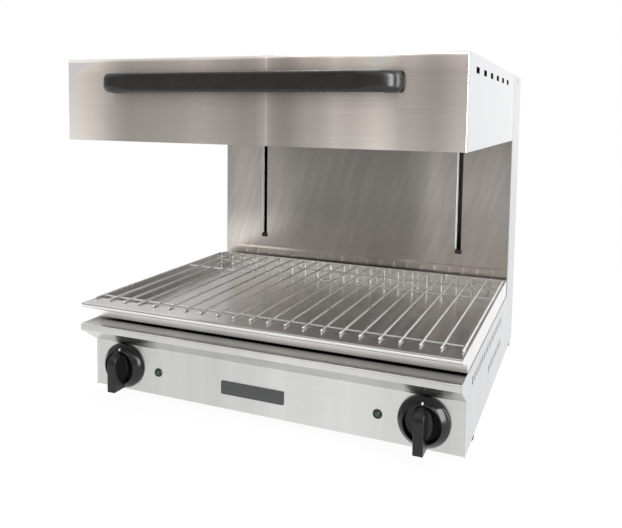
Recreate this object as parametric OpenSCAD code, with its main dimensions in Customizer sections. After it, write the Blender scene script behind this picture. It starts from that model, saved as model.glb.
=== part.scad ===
// Rise-and-fall cheese melter: a heated hood that slides up and down a rear
// column over a drip tray with a wire rack, on a low case with two heat knobs.
// Millimetres, +Z up. The origin is the middle of the footprint, on the
// surface that the four feet stand on. The front of the melter faces -Y.

/* [Overall] */
// Width of the case, the hood, the tray and the column
body_w = 600; // [560:5:700]
// Height from the underside of the case to the top of the column
body_h = 524; // [510:2:600]
// Thickness of the stainless sheet
sheet_t = 1.2; // [1:0.1:1.5]
// Outside radius of a bend in the sheet
bend_r = 2.5; // [1.8:0.1:3]
// Width of the flanges that the screws and the bottom plate hold on
flange_w = 18; // [14:1:24]

/* [Case] */
// Distance from the hood's front face back to the fascia
case_setback = 57.5; // [50:0.5:64]
// Height of the flat fascia
fascia_h = 76; // [74:1:84]
// Height of the case, up to the deck that the tray stands on
case_h = 112; // [108:1:124]
// How far the ledge stands out in front of the fascia
ledge_out = 37.5; // [30:0.5:42]
// Height of the flat front edge of the ledge
ledge_face_h = 10; // [8:0.5:14]
// How far the ledge reaches back over the fascia before the deck starts
ledge_return = 12; // [8:1:20]
// Height of a foot
foot_h = 10; // [8:1:25]
// Diameter of a foot where it stands
foot_d = 46; // [36:1:46]
// Distance from the fascia back to a front foot's middle
foot_front = 80; // [60:5:120]
// Distance from the column's back to a rear foot's middle
foot_back = 24; // [24:1:50]

/* [Louvres] */
// Length of a louvre slot in the case's side
louvre_l = 12; // [8:1:16]
// Width of a louvre slot
louvre_w = 3.5; // [2.5:0.5:4.5]
// Distance between neighbouring louvre slots
louvre_pitch = 17.5; // [14:0.5:22]
// Number of slots in the upper row
louvre_count = 18; // [8:1:19]
// Number of upper slots that have a slot of the lower row below them
louvre_low_count = 9; // [4:1:12]
// Distance from the fascia to the first upper slot
louvre_start = 47; // [30:1:60]
// Distance from the deck down to the middle of the upper row
louvre_drop = 24; // [16:1:30]
// Distance between the two rows
louvre_row_gap = 39; // [26:1:44]

/* [Drip tray] */
// Height of the drip tray
tray_h = 30; // [24:1:40]
// Gap between the deck and the tray's floor
tray_gap = 2.5; // [1.5:0.5:5]
// How far the tray's front lip stands out in front of its wall
lip_out = 37.5; // [30:0.5:42]
// Height of the lip's front edge
lip_face_h = 7; // [5:0.5:9]
// Height of the lip where it meets the tray's wall
lip_root_h = 20; // [16:1:22]
// Gap between the tray's rear wall and the column
tray_back_gap = 10; // [6:1:16]
// Height of the rolled hem on the tray's walls
hem_h = 8; // [5:1:10]
// Width of one runner under the tray
runner_w = 14; // [8:1:20]
// Distance from the middle plane to a runner
runner_x = 150; // [100:5:240]
// How far the tray pulls out
tray_travel = 300; // [200:10:340]

/* [Wire rack] */
// Diameter of the rack's wire
wire_d = 3.5; // [3:0.25:5]
// Number of wires that run front to back
wire_count = 22; // [16:1:26]
// Gap between the tray's hem and the outer wires
rack_side_gap = 0.8; // [0.5:0.1:5]
// How far the wires' front ends reach over the tray's front wall
rack_front_over = 8.5; // [4:0.5:16]
// Gap between the rack's rear legs and the tray's rear wall
rack_back_gap = 20; // [14:1:30]
// Distance from the tray's front wall to the front cross wire
cross_front = 17; // [10:1:30]
// Distance from the tray's front wall to the middle cross wire
cross_mid = 270; // [200:5:320]
// Radius of the bend at the top of a rear leg
leg_bend_r = 6; // [4:0.5:9]
// How deep one wire is pressed into another at a weld
weld = 0.6; // [0.3:0.1:1]

/* [Column] */
// Depth of the column
column_d = 112; // [106:1:130]
// Height of the raised band at the foot of the column's front panel
band_h = 14; // [8:1:20]
// How far the band stands out
band_out = 2; // [1.5:0.5:4]
// Distance from the middle plane to a slot
slot_x = 207; // [190:1:220]
// Width of a slot
slot_w = 9.5; // [9:0.5:12]
// How far the slot's folded edges go back
slot_lip = 7; // [4:1:10]
// Height of the rubber buffer at the bottom of a slot
buffer_h = 6; // [4:1:10]
// Width of the buffer's head
buffer_w = 13; // [12.5:0.5:16]
// How far the buffer's head stands out
buffer_out = 1.2; // [0.8:0.1:1.4]
// Width of the short slot near the top of the column's side
peep_w = 5; // [3:0.5:8]
// Height of that slot
peep_h = 9; // [8:0.5:12]
// Distance from the column's top down to that slot's middle
peep_drop = 9; // [8:0.5:16]

/* [Hood] */
// Depth of the hood
hood_d = 482.5; // [470:0.5:500]
// Height of the hood
hood_h = 120; // [116:1:134]
// Gap between the hood's back and the column
lift_gap = 2; // [1.8:0.1:3]
// How far the hood slides down
lift_travel = 220; // [180:5:224]
// Radius of the hood's top front edge
hood_top_r = 5; // [3:0.5:8]
// Width of the hem that turns in under the hood
hood_hem = 11; // [8:1:16]
// Length of a vent in the hood's side
vent_l = 25; // [18:1:34]
// Height of a vent
vent_h = 8; // [5:1:12]
// Number of vents on a side
vent_count = 6; // [4:1:6]
// Distance between neighbouring vents
vent_pitch = 63; // [45:1:68]
// Distance from the hood's front to the first vent's middle
vent_start = 63; // [40:1:80]
// Distance from the hood's top to the vents' middle
vent_drop = 19; // [14:1:26]

/* [Heaters] */
// Diameter of a heating element's tube
element_d = 8.5; // [6.5:0.5:10]
// Number of straight runs in one element
element_runs = 6; // [4:2:6]
// Distance between neighbouring runs
element_pitch = 42; // [36:1:44]
// Height of the elements above the hood's lower edge
element_z = 26; // [20:1:30]
// Height of the reflector's roof above the hood's lower edge
reflector_h = 48; // [40:1:54]
// How far the reflector's front and rear slope in
reflector_slope = 26; // [16:1:34]
// Gap between the hood's walls and the reflector
reflector_gap = 14; // [12:1:20]
// Thickness of the insulation blanket
blanket_t = 24; // [12:1:30]

/* [Handle] */
// Length of the handle
handle_l = 444; // [360:2:500]
// Height of the handle's grip
handle_h = 27; // [20:1:34]
// Thickness of the handle's grip
handle_t = 12; // [10:0.5:16]
// How far the handle stands out from the hood
handle_reach = 34; // [30:1:48]
// Edge radius of the grip
handle_edge = 4; // [2:0.5:4.5]
// Distance from the hood's top down to the handle's middle
handle_drop = 36; // [28:1:60]

/* [Lift arms and carriage] */
// Thickness of a lift arm
arm_t = 6; // [4:0.5:7]
// Height of a lift arm
arm_h = 58; // [50:1:64]
// Height of the arms above the hood's lower edge
arm_rise = 8; // [5:1:12]
// Thickness of the carriage's plate
carriage_t = 3; // [2:0.5:4]
// Height of the carriage
carriage_h = 40; // [34:1:42]
// Depth of the carriage
carriage_d = 30; // [26:1:32]
// Distance from the arms' lower edge down to the carriage's
carriage_drop = 12; // [8:1:16]
// Distance from the column's front panel back to the guide rods
rod_back = 31; // [30:1:34]
// Distance from the middle plane to a guide rod
rod_x = 160; // [150:1:172]
// Diameter of a guide rod
rod_d = 16; // [12:1:18]
// Wall thickness of a guide bush
bush_t = 3; // [2:0.5:4]
// Wall thickness of the housing round a bush
housing_t = 3.5; // [3:0.5:5]
// Radial running clearance of a rod, a pulley or a spindle
run_fit = 0.05; // [0.02:0.01:0.09]
// Thickness of the rails that hold the rods
rail_t = 3; // [2:0.5:4]

/* [Counterweights] */
// Distance from the middle plane to a counterweight
weight_x = 110; // [104:1:116]
// Width of a counterweight
weight_w = 150; // [120:1:160]
// Depth of a counterweight
weight_d = 30; // [24:1:32]
// Height of a counterweight
weight_h = 190; // [150:1:194]
// Height of a counterweight above the case's underside
weight_rise = 26; // [20:1:30]
// Running gap round a counterweight
weight_gap = 1; // [0.5:0.1:2]
// Thickness of a counterweight's channel
channel_t = 1.5; // [1:0.1:2]
// Diameter of the lift cable
cable_d = 3; // [2:0.5:4]
// Width of a pulley
pulley_w = 10; // [8:1:14]
// Diameter of a pulley's axle
axle_d = 10; // [8:1:12]

/* [Knobs and lamps] */
// Distance from the middle plane to a knob
knob_x = 245; // [235:1:250]
// Height of a knob's middle above the case's underside
knob_z = 40; // [38:1:42]
// Diameter of a knob's skirt
knob_d = 72; // [60:1:74]
// Height of the knob's domed skirt
knob_dome_h = 14; // [12:0.5:18]
// Diameter of the finger recesses beside the grip
knob_recess_d = 52; // [48:1:56]
// How far a knob stands out from the fascia
knob_out = 35; // [32:0.5:40]
// Width of the knob's grip
grip_w = 14; // [11:0.5:16]
// Radius of the grip's rounded upper end
grip_round = 19; // [12:1:20]
// Width of the pointed pedestal that the grip stands on
pedestal_w = 28; // [24:1:32]
// Height of the pedestal above the knob's back
pedestal_h = 11; // [8:0.5:12]
// Diameter of a spindle
spindle_d = 6; // [5:0.5:8]
// Distance from the middle plane to a pilot lamp
lamp_x = 180; // [170:1:195]
// Height of a lamp above the case's underside
lamp_z = 37.5; // [30:0.5:46]
// Diameter of a pilot lamp's bezel
lamp_d = 14; // [12:0.5:20]
// Length of the bare plate
plate_l = 104; // [80:1:120]
// Height of the bare plate
plate_h = 20; // [14:1:26]
// Thickness of the bare plate
plate_t = 1.5; // [1:0.1:2.5]
// Sideways offset of the plate from the middle plane
plate_x = -14; // [-20:1:20]
// Height of the plate's middle above the case's underside
plate_z = 34; // [28:0.5:46]

/* [Supply] */
// How far the cable gland stands out at the back
gland_out = 16; // [12:1:24]
// Diameter of the cable that the gland takes
gland_bore = 9; // [7:0.5:12]
// Distance from the middle plane to the gland
gland_x = 235; // [220:1:245]
// Height of the gland above the case's underside
gland_z = 46; // [30:1:60]

/* [Hidden] */
$fn = 48;
bend_steps = 4;            // flats in one bend of the sheet
free_gap = 0.3;            // gap between bodies that move past each other
eps = 0.05;                // how far a cutter runs past what it cuts
steel = "gainsboro";
dark = "dimgray";
black = "#1c1c1e";
wire_steel = "silver";

half_w = body_w / 2;
inner_x = half_w - sheet_t;
overall_d = handle_reach + hood_d + lift_gap + column_d + gland_out;
y_hood = handle_reach - overall_d / 2;
y_hood_back = y_hood + hood_d;
y_case = y_hood + case_setback;
y_ledge = y_case - ledge_out;
y_deck = y_case + ledge_return;
y_column = y_hood_back + lift_gap;
y_back = y_column + column_d;
y_cover = y_back - sheet_t;

z_case = foot_h;
z_fascia = z_case + fascia_h;
z_deck = z_case + case_h;
z_top = z_case + body_h;
z_cap = z_top - sheet_t;
z_hood = z_top - hood_h;
deck_skirt = 10;
side_flange = 14;           // width of the column panel's folded sides
panel_tuck = 12;            // how far the column's panel reaches below the deck
cap_lip = 12;
z_base = z_case + sheet_t;
z_base_top = z_base + sheet_t;
base_slot_pitch = 66;
base_slots = 7;             // in one row
stud_r = 3;
stud_gap = 2;               // between a foot's stud and the side's flange
foot_x = inner_x - flange_w - stud_gap - stud_r;
foot_places = [for (x = [-foot_x, foot_x], y = [y_case + foot_front, y_back - foot_back]) [x, y]];
foot_flare = 1;
foot_stud = 8;
foot_hollow = 2;
foot_ring = 6;

z_tray = z_deck + tray_gap;
z_floor = z_tray + sheet_t;
z_rim = z_tray + tray_h;
y_lip = y_case - lip_out;
y_tray_back = y_column - band_out - tray_back_gap;
hem_t = 2 * sheet_t;
runner_end_gap = 20;

wire_r = wire_d / 2;
z_wire = z_rim + free_gap + wire_r;
rack_half = half_w - hem_t - rack_side_gap - wire_r;
wire_pitch = 2 * rack_half / (wire_count - 1);
y_rack_front = y_case - rack_front_over;
y_leg = y_tray_back - sheet_t - rack_back_gap;
z_leg = z_floor + free_gap;
z_cross = z_wire - wire_d + weld;

z_arm = z_hood + arm_rise;
z_slot_top = z_arm + arm_h + buffer_h;
arm_stop_gap = 1;           // between the arms and the buffers when the hood is down
z_slot = z_arm - lift_travel - arm_stop_gap - buffer_h;
buffer_over = 1.5;          // how far a buffer's head reaches below its slot
z_band = z_rim + band_h;
tight_r = 1.2 * sheet_t;    // outside radius of the band's bends

y_rod = y_column + rod_back;
y_carriage = y_rod - carriage_d / 2;
z_carriage = z_arm - carriage_drop;
z_carriage_top = z_carriage + carriage_h;
carriage_over = 8;          // how far the carriage reaches past the lift arms
carriage_half = slot_x + arm_t / 2 + carriage_over;
rod_r = rod_d / 2;
bush_r = rod_r + bush_t;
housing_r = bush_r + housing_t;

rail_gap = 2;               // between the top rail and the sheets round it
z_rail = z_cap - rail_gap - rail_t;
rail_tab = 18;              // height of a rail's folded ends
low_rail_rise = 22;
z_low_rail = z_case + low_rail_rise;
bracket_t = 3;
y_weight = y_cover - channel_t - weight_gap - weight_d / 2;
z_weight = z_case + weight_rise;
z_weight_top = z_weight + weight_h;
weight_round = 3;
channel_over = 2;           // how far a channel's sides reach past the counterweight
pulley_r = (y_weight - y_rod) / 2;
pulley_rim_r = pulley_r + cable_d;
groove_r = pulley_r - cable_d / 2 - free_gap;
groove_w = cable_d + 2 * free_gap;
groove_lip = 1;              // wall beside the groove at a pulley's rim
mouth_w = pulley_w - 2 * groove_lip;
y_pulley = y_rod + pulley_r;
pulley_gap = 1;             // between a pulley and its bracket
z_pulley = z_rail - bracket_t - 2 * pulley_gap - pulley_rim_r;
cheek_gap = pulley_w + 2 * pulley_gap;
axle_r = axle_d / 2;
axle_head = 2;
boss_h = 5;                 // where a cable is clamped
boss_wall = 3.5;            // round a cable
boss_r = cable_d / 2 + boss_wall;

z_knob = z_case + knob_z;
knob_gap = 1;               // between the fascia and a knob
knob_r = knob_d / 2;
knob_face = knob_out - knob_gap;
knob_floor = 4;
knob_rim_h = 3.5;
grip_inset = 3;             // between the skirt's edge and the grip's blunt end
grip_over = 1;              // how far the grip reaches past the finger recesses
grip_low = grip_inset - knob_r;
grip_top = knob_recess_d / 2 + grip_over;
grip_edge = 2;
spindle_r = spindle_d / 2;
spindle_in = 22;            // how deep a spindle goes into the knob and the regulator
regulator_w = 46;
regulator_d = 38;
regulator_round = 3;
neck_wall = 2.5;
neck_r = spindle_r + neck_wall;   // neck of a regulator, in the fascia
neck_out = 0.5;
tag_pitch = 12;             // connector tags at the back of a regulator
tag_w = 6;
tag_l = 8;
tag_t = 1;
bezel_h = 2.2;
bezel_rim = 1.6;
lamp_wall = 0.9;
lamp_body_r = lamp_d / 2 - bezel_rim;
lamp_body_l = 22;
lamp_end_t = 4;
lens_r = lamp_body_r - lamp_wall;
lens_out = 2.8;
lens_in = 8;
lens_slope = 1.2;
plate_round = 1.5;

z_hem = z_hood + sheet_t;
hem_up = 4;                 // height of the hem's turned-up edge
z_hem_top = z_hem + hem_up;
z_element = z_hood + element_z;
z_reflector = z_hem_top + sheet_t;
z_roof = z_hood + reflector_h;
element_r = element_d / 2;
element_first = (half_w - reflector_gap - (element_runs - 1) * element_pitch) / 2;
y_reflector = y_hood + reflector_gap;
y_reflector_back = y_hood_back - reflector_gap;
element_end_gap = 6;        // between the reflector's slope and a bend of an element
y_run_front = y_reflector + reflector_slope + element_pitch / 2 + element_end_gap;
y_run_back = y_reflector_back - reflector_slope - element_pitch / 2 - element_end_gap;
reflector_half = half_w - reflector_gap;
blanket_gap = 5;
pin_l = 9;                  // terminal pin of an element
pin_gap = 2;                // between a pin and the lift arms' plates
comb_t = 2;
comb_over = 12;             // how far a comb reaches past the outer runs
comb_drop = 3;              // below the elements

z_handle = z_top - handle_drop;
y_handle = y_hood - handle_reach;
handle_foot_l = 26;
handle_foot_t = 3;
handle_r = handle_reach - handle_foot_t;   // outside radius of the handle's round ends
bolt_r = 3;
bolt_head_r = 5;
bolt_head_h = 3.5;
bolt_in = 11;               // how deep a bolt goes into the handle
screw_r = 2;
screw_head_r = 4;
screw_head_h = 2.2;
screw_l = 8;
screw_x = inner_x - flange_w / 2;
screw_end = 24;             // from the back cover's ends to the outer screws
screw_over_deck = 30;
screw_z = [z_case + screw_end, z_deck + screw_over_deck, (z_deck + z_cap) / 2, z_cap - screw_end];
arm_plate_w = 44;
arm_plate_t = 3;
arm_bolt_x = 14;
arm_bolt_z = 20;
vent_slot_l = 46;
vent_slot_w = 4;
vent_slot_pitch = 12;
vent_slot_rows = 5;
cover_vent_x = 150;
cover_vent_low = 40;        // from the deck down to the lower vents
cover_vent_high = 100;      // from the column's top down to the upper vents
pole_w = 16;                // one pole of the terminal block
pole_l = 34;
pole_h = 12;
pole_wall = 2;
pole_wall_h = 22;
block_gap = 4;              // round the terminal block
gland_wall = 2.5;
gland_nut = 5;
gland_nut_wall = 6;
gland_cap_wall = 4;

// ---- Drawing aids ----

function unit(v) = v / norm(v);
function turned(v) = [-v[1], v[0]];
function reversed(p) = [for (i = [len(p) - 1 : -1 : 0]) p[i]];

// Points of the arc of radius r that rounds the corner b between a and c
function corner_arc(a, b, c, r) =
    let (u = unit(a - b),
         v = unit(c - b),
         half = acos(u * v) / 2,
         centre = b + unit(u + v) * r / sin(half),
         start = b + u * r / tan(half) - centre,
         stop = b + v * r / tan(half) - centre,
         first = atan2(start[1], start[0]),
         raw = atan2(stop[1], stop[0]) - first,
         sweep = raw > 180 ? raw - 360 : raw < -180 ? raw + 360 : raw)
    [for (k = [0 : bend_steps])
        let (a = first + sweep * k / bend_steps) centre + r * [cos(a), sin(a)]];

// An open line with its inner corners rounded
function bent(p, r) = concat([p[0]],
    [for (i = [1 : len(p) - 2]) each corner_arc(p[i - 1], p[i], p[i + 1], r)],
    [p[len(p) - 1]]);

// A closed outline from corners [x, y, radius]
function outline(c) = [for (i = [0 : len(c) - 1])
    let (n = len(c),
         p = [for (k = [-1 : 1]) let (q = c[(i + k + n) % n]) [q[0], q[1]]])
    each (c[i][2] > 0 ? corner_arc(p[0], p[1], p[2], c[i][2]) : [p[1]])];

// A line moved sideways by d, to the left of its direction
function shifted(p, d) = [for (i = [0 : len(p) - 1])
    let (before = i > 0 ? unit(p[i] - p[i - 1]) : unit(p[1] - p[0]),
         after = i < len(p) - 1 ? unit(p[i + 1] - p[i]) : before,
         m = unit(turned(before) + turned(after)))
    p[i] + m * d / (m * turned(before))];

// Section of a sheet folded along the line p, its thickness on the left
module fold(p, r, t) {
    outer = bent(p, r);
    polygon(concat(outer, reversed(shifted(outer, t))));
}

// Extrudes a drawing of (y, z) along X, from x0
module along_x(x0, l) {
    translate([x0, 0, 0]) rotate([90, 0, 90]) linear_extrude(l) children();
}

// A box from its lowest corner to its highest corner
module block(a, b) {
    translate(a) cube(b - a);
}

// A round bar along Y, from y0 to y1
module bar_y(x, z, r, y0, y1) {
    translate([x, y0, z]) rotate([-90, 0, 0]) cylinder(h = y1 - y0, r = r);
}

// A round bar along X, from x0 to x1
module bar_x(y, z, r, x0, x1) {
    translate([x0, y, z]) rotate([0, 90, 0]) cylinder(h = x1 - x0, r = r);
}

// A round bar along Z, from z0 to z1
module bar_z(x, y, r, z0, z1) {
    translate([x, y, z0]) cylinder(h = z1 - z0, r = r);
}

// A rectangle with true round corners, about the origin
module round_rect(w, h, r) {
    square([w - 2 * r, h], center = true);
    square([w, h - 2 * r], center = true);
    for (x = [-1, 1], y = [-1, 1]) translate([x * (w / 2 - r), y * (h / 2 - r)]) circle(r = r);
}

// A slot with round ends: w across, l along the drawing's second axis
module slot_2d(w, l) {
    square([w, l - w], center = true);
    for (s = [-1, 1]) translate([0, s * (l - w) / 2]) circle(d = w);
}

// ---- Case ----

// Side view of the case and column, the shape of a side panel
module case_outline() {
    polygon(outline([
        [y_case, z_case, 0],
        [y_case, z_fascia, bend_r],
        [y_ledge, z_deck - ledge_face_h, bend_r],
        [y_ledge, z_deck, bend_r],
        [y_column, z_deck, 0],
        [y_column, z_top, 0],
        [y_back, z_top, 0],
        [y_back, z_case, 0]]));
}

module louvre_rows() {
    for (i = [0 : louvre_count - 1], row = [0, 1])
        if (row == 0 || i >= louvre_count - louvre_low_count)
            translate([y_case + louvre_start + i * louvre_pitch,
                       z_deck - louvre_drop - row * louvre_row_gap])
                slot_2d(louvre_w, louvre_l);
}

module side_panel(s) {
    x_skin = s > 0 ? inner_x : -half_w;
    x_flange = s > 0 ? inner_x - flange_w : -inner_x;
    color(steel) difference() {
        union() {
            along_x(x_skin, sheet_t) case_outline();
            block([x_flange, y_case + flange_w, z_case],
                  [x_flange + flange_w, y_cover, z_case + sheet_t]);
            block([x_flange, y_cover - sheet_t, z_case + 2 * sheet_t],
                  [x_flange + flange_w, y_cover, z_cap - 2 * sheet_t]);
        }
        along_x(x_skin - eps, sheet_t + 2 * eps) louvre_rows();
        along_x(x_skin - eps, sheet_t + 2 * eps)
            translate([(y_column + y_back) / 2, z_top - peep_drop]) slot_2d(peep_w, peep_h);
        for (z = screw_z) bar_y(s * screw_x, z, screw_r, y_cover - 2 * sheet_t, y_back);
    }
}

module front_panel() {
    color(steel) difference() {
        along_x(-inner_x, 2 * inner_x)
            fold([[y_case + flange_w, z_case], [y_case, z_case], [y_case, z_fascia],
                  [y_ledge, z_deck - ledge_face_h], [y_ledge, z_deck], [y_deck, z_deck]],
                 bend_r, -sheet_t);
        for (s = [-1, 1]) {
            bar_y(s * knob_x, z_knob, neck_r, y_case - eps, y_case + sheet_t + eps);
            bar_y(s * lamp_x, z_case + lamp_z, lamp_body_r, y_case - eps, y_case + sheet_t + eps);
        }
    }
}

// The deck that the tray stands on, with a skirt folded down on three edges
module deck_plate() {
    z0 = z_deck - sheet_t;
    y1 = y_column - band_out;
    color(steel) {
        block([-inner_x, y_deck, z0], [inner_x, y1, z_deck]);
        for (x = [-inner_x, inner_x - sheet_t]) block([x, y_deck, z0 - deck_skirt], [x + sheet_t, y1, z0]);
        block([-inner_x, y_deck, z0 - deck_skirt], [inner_x, y_deck + sheet_t, z0]);
    }
}

module base_plate() {
    y0 = y_case + sheet_t + bend_r;
    color(steel) difference() {
        block([-inner_x, y0, z_base], [inner_x, y_cover, z_base_top]);
        for (i = [0 : base_slots - 1], row = [1, 2])
            translate([(i - (base_slots - 1) / 2) * base_slot_pitch, y0 + row * (y_cover - y0) / 3, z_case])
                linear_extrude(3 * sheet_t) slot_2d(vent_slot_w, vent_slot_l);
        for (p = foot_places) bar_z(p[0], p[1], stud_r, z_case, z_base_top + eps);
    }
}

// Four round feet under the sides' flanges, each with a hollow sole and a stud
// up through the base
module feet() {
    for (p = foot_places) translate([p[0], p[1], 0]) color(black) difference() {
        union() {
            cylinder(h = z_case, d1 = foot_d, d2 = foot_d + foot_flare);
            translate([0, 0, z_case]) cylinder(h = sheet_t, r = stud_r + stud_gap / 2);
            translate([0, 0, z_case]) cylinder(h = foot_stud, r = stud_r);
        }
        translate([0, 0, -eps]) cylinder(h = foot_hollow + eps, r = foot_d / 2 - foot_ring);
    }
}

// ---- Column ----

// The stainless panel in front of the lift, with a slot for each lift arm and
// a raised band along its foot, which is cut away round the slots' buffers
module column_front() {
    color(steel) difference() {
        union() {
            along_x(-inner_x, 2 * inner_x)
                fold([[y_column, z_cap], [y_column, z_band + 2 * band_out], [y_column - band_out, z_band],
                      [y_column - band_out, z_deck - panel_tuck]], tight_r, sheet_t);
            for (x = [-inner_x, inner_x - sheet_t])
                block([x, y_column + sheet_t, z_band + side_flange],
                      [x + sheet_t, y_column + side_flange, z_cap]);
            for (s = [-1, 1])
                block([s * slot_x - slot_w / 2 - sheet_t, y_column + sheet_t, z_slot],
                      [s * slot_x + slot_w / 2 + sheet_t, y_column + slot_lip, z_slot_top]);
        }
        for (s = [-1, 1]) {
            block([s * slot_x - slot_w / 2, y_column - eps, z_slot],
                  [s * slot_x + slot_w / 2, y_column + slot_lip + eps, z_slot_top]);
            block([s * slot_x - buffer_w / 2 - free_gap, y_column - band_out - eps,
                   z_slot - buffer_over - free_gap],
                  [s * slot_x + buffer_w / 2 + free_gap, y_column, z_slot_top]);
        }
    }
}

module slot_buffers() {
    for (s = [-1, 1]) color(black) {
        block([s * slot_x - slot_w / 2, y_column, z_slot],
              [s * slot_x + slot_w / 2, y_column + slot_lip, z_slot + buffer_h]);
        block([s * slot_x - buffer_w / 2, y_column - buffer_out, z_slot - buffer_over],
              [s * slot_x + buffer_w / 2, y_column, z_slot + buffer_h]);
    }
}

module back_cover() {
    color(steel) difference() {
        block([-inner_x, y_cover, z_case], [inner_x, y_back, z_cap]);
        for (s = [-1, 1], z = screw_z) bar_y(s * screw_x, z, screw_r, y_cover - eps, y_back + eps);
        for (x = [-1, 0, 1], i = [0 : vent_slot_rows - 1],
             z = [z_deck - cover_vent_low, z_cap - cover_vent_high])
            translate([x * cover_vent_x, y_back + eps, z + i * vent_slot_pitch])
                rotate([90, 90, 0]) linear_extrude(sheet_t + 2 * eps) slot_2d(vent_slot_w, vent_slot_l);
        bar_y(-gland_x, z_case + gland_z, gland_bore / 2 + gland_wall, y_cover - eps, y_back + eps);
    }
}

module column_cap() {
    lip_half = inner_x - flange_w - rail_gap;
    color(steel) {
        block([-inner_x, y_column, z_cap], [inner_x, y_back, z_top]);
        for (y = [y_column + sheet_t, y_cover - sheet_t])
            block([-lip_half, y, z_cap - cap_lip], [lip_half, y + sheet_t, z_cap]);
    }
}

module case_screws() {
    for (s = [-1, 1], z = screw_z) color(wire_steel) {
        bar_y(s * screw_x, z, screw_head_r, y_back, y_back + screw_head_h);
        bar_y(s * screw_x, z, screw_r, y_back - screw_l, y_back);
    }
}

// ---- Drip tray and rack ----

module drip_tray() {
    lip = [[y_case + sheet_t, z_rim], [y_lip, z_rim],
           [y_lip + lip_face_h / 2, z_rim - lip_face_h], [y_case, z_rim - lip_root_h]];
    color(steel) {
        difference() {
            block([-half_w, y_case, z_tray], [half_w, y_tray_back, z_rim]);
            block([-half_w + sheet_t, y_case + sheet_t, z_floor],
                  [half_w - sheet_t, y_tray_back - sheet_t, z_rim + eps]);
        }
        for (x = [-half_w + sheet_t, half_w - hem_t])
            block([x, y_case + sheet_t, z_rim - hem_h], [x + sheet_t, y_tray_back - sheet_t, z_rim]);
        block([-half_w + hem_t, y_tray_back - hem_t, z_rim - hem_h],
              [half_w - hem_t, y_tray_back - sheet_t, z_rim]);
        along_x(-half_w, body_w) fold(lip, bend_r, sheet_t);
        for (x = [-half_w, inner_x])
            along_x(x, sheet_t) polygon(concat(bent(lip, bend_r), [[y_case, z_rim - sheet_t]]));
        for (s = [-1, 1])
            block([s * runner_x - runner_w / 2, y_case + runner_end_gap, z_deck + free_gap],
                  [s * runner_x + runner_w / 2, y_tray_back - runner_end_gap, z_tray]);
    }
}

// One long wire of the rack: round front end, straight run, bend and rear leg
module rack_wire(x) {
    translate([x, y_rack_front, z_wire]) sphere(r = wire_r);
    bar_y(x, z_wire, wire_r, y_rack_front, y_leg - leg_bend_r);
    translate([x, y_leg - leg_bend_r, z_wire - leg_bend_r]) rotate([0, -90, 0])
        rotate_extrude(angle = 90) translate([leg_bend_r, 0]) circle(r = wire_r);
    bar_z(x, y_leg, wire_r, z_leg, z_wire - leg_bend_r);
}

module wire_rack() {
    z_tie = (z_leg + z_wire) / 2;
    color(wire_steel) {
        for (i = [0 : wire_count - 1]) rack_wire(-rack_half + i * wire_pitch);
        for (y = [y_case + cross_front, y_case + cross_mid])
            bar_x(y, z_cross, wire_r, -rack_half, rack_half);
        bar_x(y_leg - wire_d + weld, z_tie, wire_r, -rack_half, rack_half);
    }
}

// ---- Hood ----

// The hood's outer block, drawn in by d on every face but the back
module hood_block(d, z0) {
    intersection() {
        along_x(-half_w + d, body_w - 2 * d)
            polygon(outline([[y_hood + d, z0, 0], [y_hood_back, z0, 0], [y_hood_back, z_top - d, 0],
                             [y_hood + d, z_top - d, hood_top_r - d]]));
        translate([0, 0, z0]) linear_extrude(z_top - z0)
            polygon(outline([[-half_w + d, y_hood + d, bend_r - d], [half_w - d, y_hood + d, bend_r - d],
                             [half_w - d, y_hood_back, 0], [-half_w + d, y_hood_back, 0]]));
    }
}

// One folded sheet, open below and behind, with a hem round its lower edge
module hood_shell() {
    color(steel) {
        difference() {
            hood_block(0, z_hood);
            hood_block(sheet_t, z_hood - eps);
            for (i = [0 : vent_count - 1])
                translate([0, y_hood + vent_start + i * vent_pitch, z_top - vent_drop])
                    cube([body_w + eps, vent_l, vent_h], center = true);
            handle_bolt_places(bolt_r, y_hood - eps, y_hood + sheet_t + eps);
        }
        difference() {
            union() {
                block([-inner_x, y_hood + sheet_t, z_hood], [inner_x, y_hood_back - sheet_t, z_hem]);
                block([-inner_x + hood_hem - sheet_t, y_hood + hood_hem, z_hem],
                      [inner_x - hood_hem + sheet_t, y_hood_back - sheet_t, z_hem_top]);
            }
            block([-inner_x + hood_hem, y_hood + sheet_t + hood_hem, z_hood - eps],
                  [inner_x - hood_hem, y_hood_back, z_hem_top + eps]);
        }
    }
}

module hood_back() {
    color(steel) difference() {
        block([-inner_x, y_hood_back - sheet_t, z_hood], [inner_x, y_hood_back, z_top - sheet_t]);
        for (s = [-1, 1]) {
            block([s * slot_x - arm_t / 2, y_hood_back - sheet_t - eps, z_arm],
                  [s * slot_x + arm_t / 2, y_hood_back + eps, z_arm + arm_h]);
            arm_bolt_places(s, bolt_r, y_hood_back - sheet_t - eps, y_hood_back + eps);
        }
    }
}

// Round bars where the bolts of one lift arm go
module arm_bolt_places(s, r, y0, y1) {
    for (x = [-1, 1], z = [-1, 1])
        bar_y(s * slot_x + x * arm_bolt_x, z_arm + arm_h / 2 + z * arm_bolt_z, r, y0, y1);
}

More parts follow.
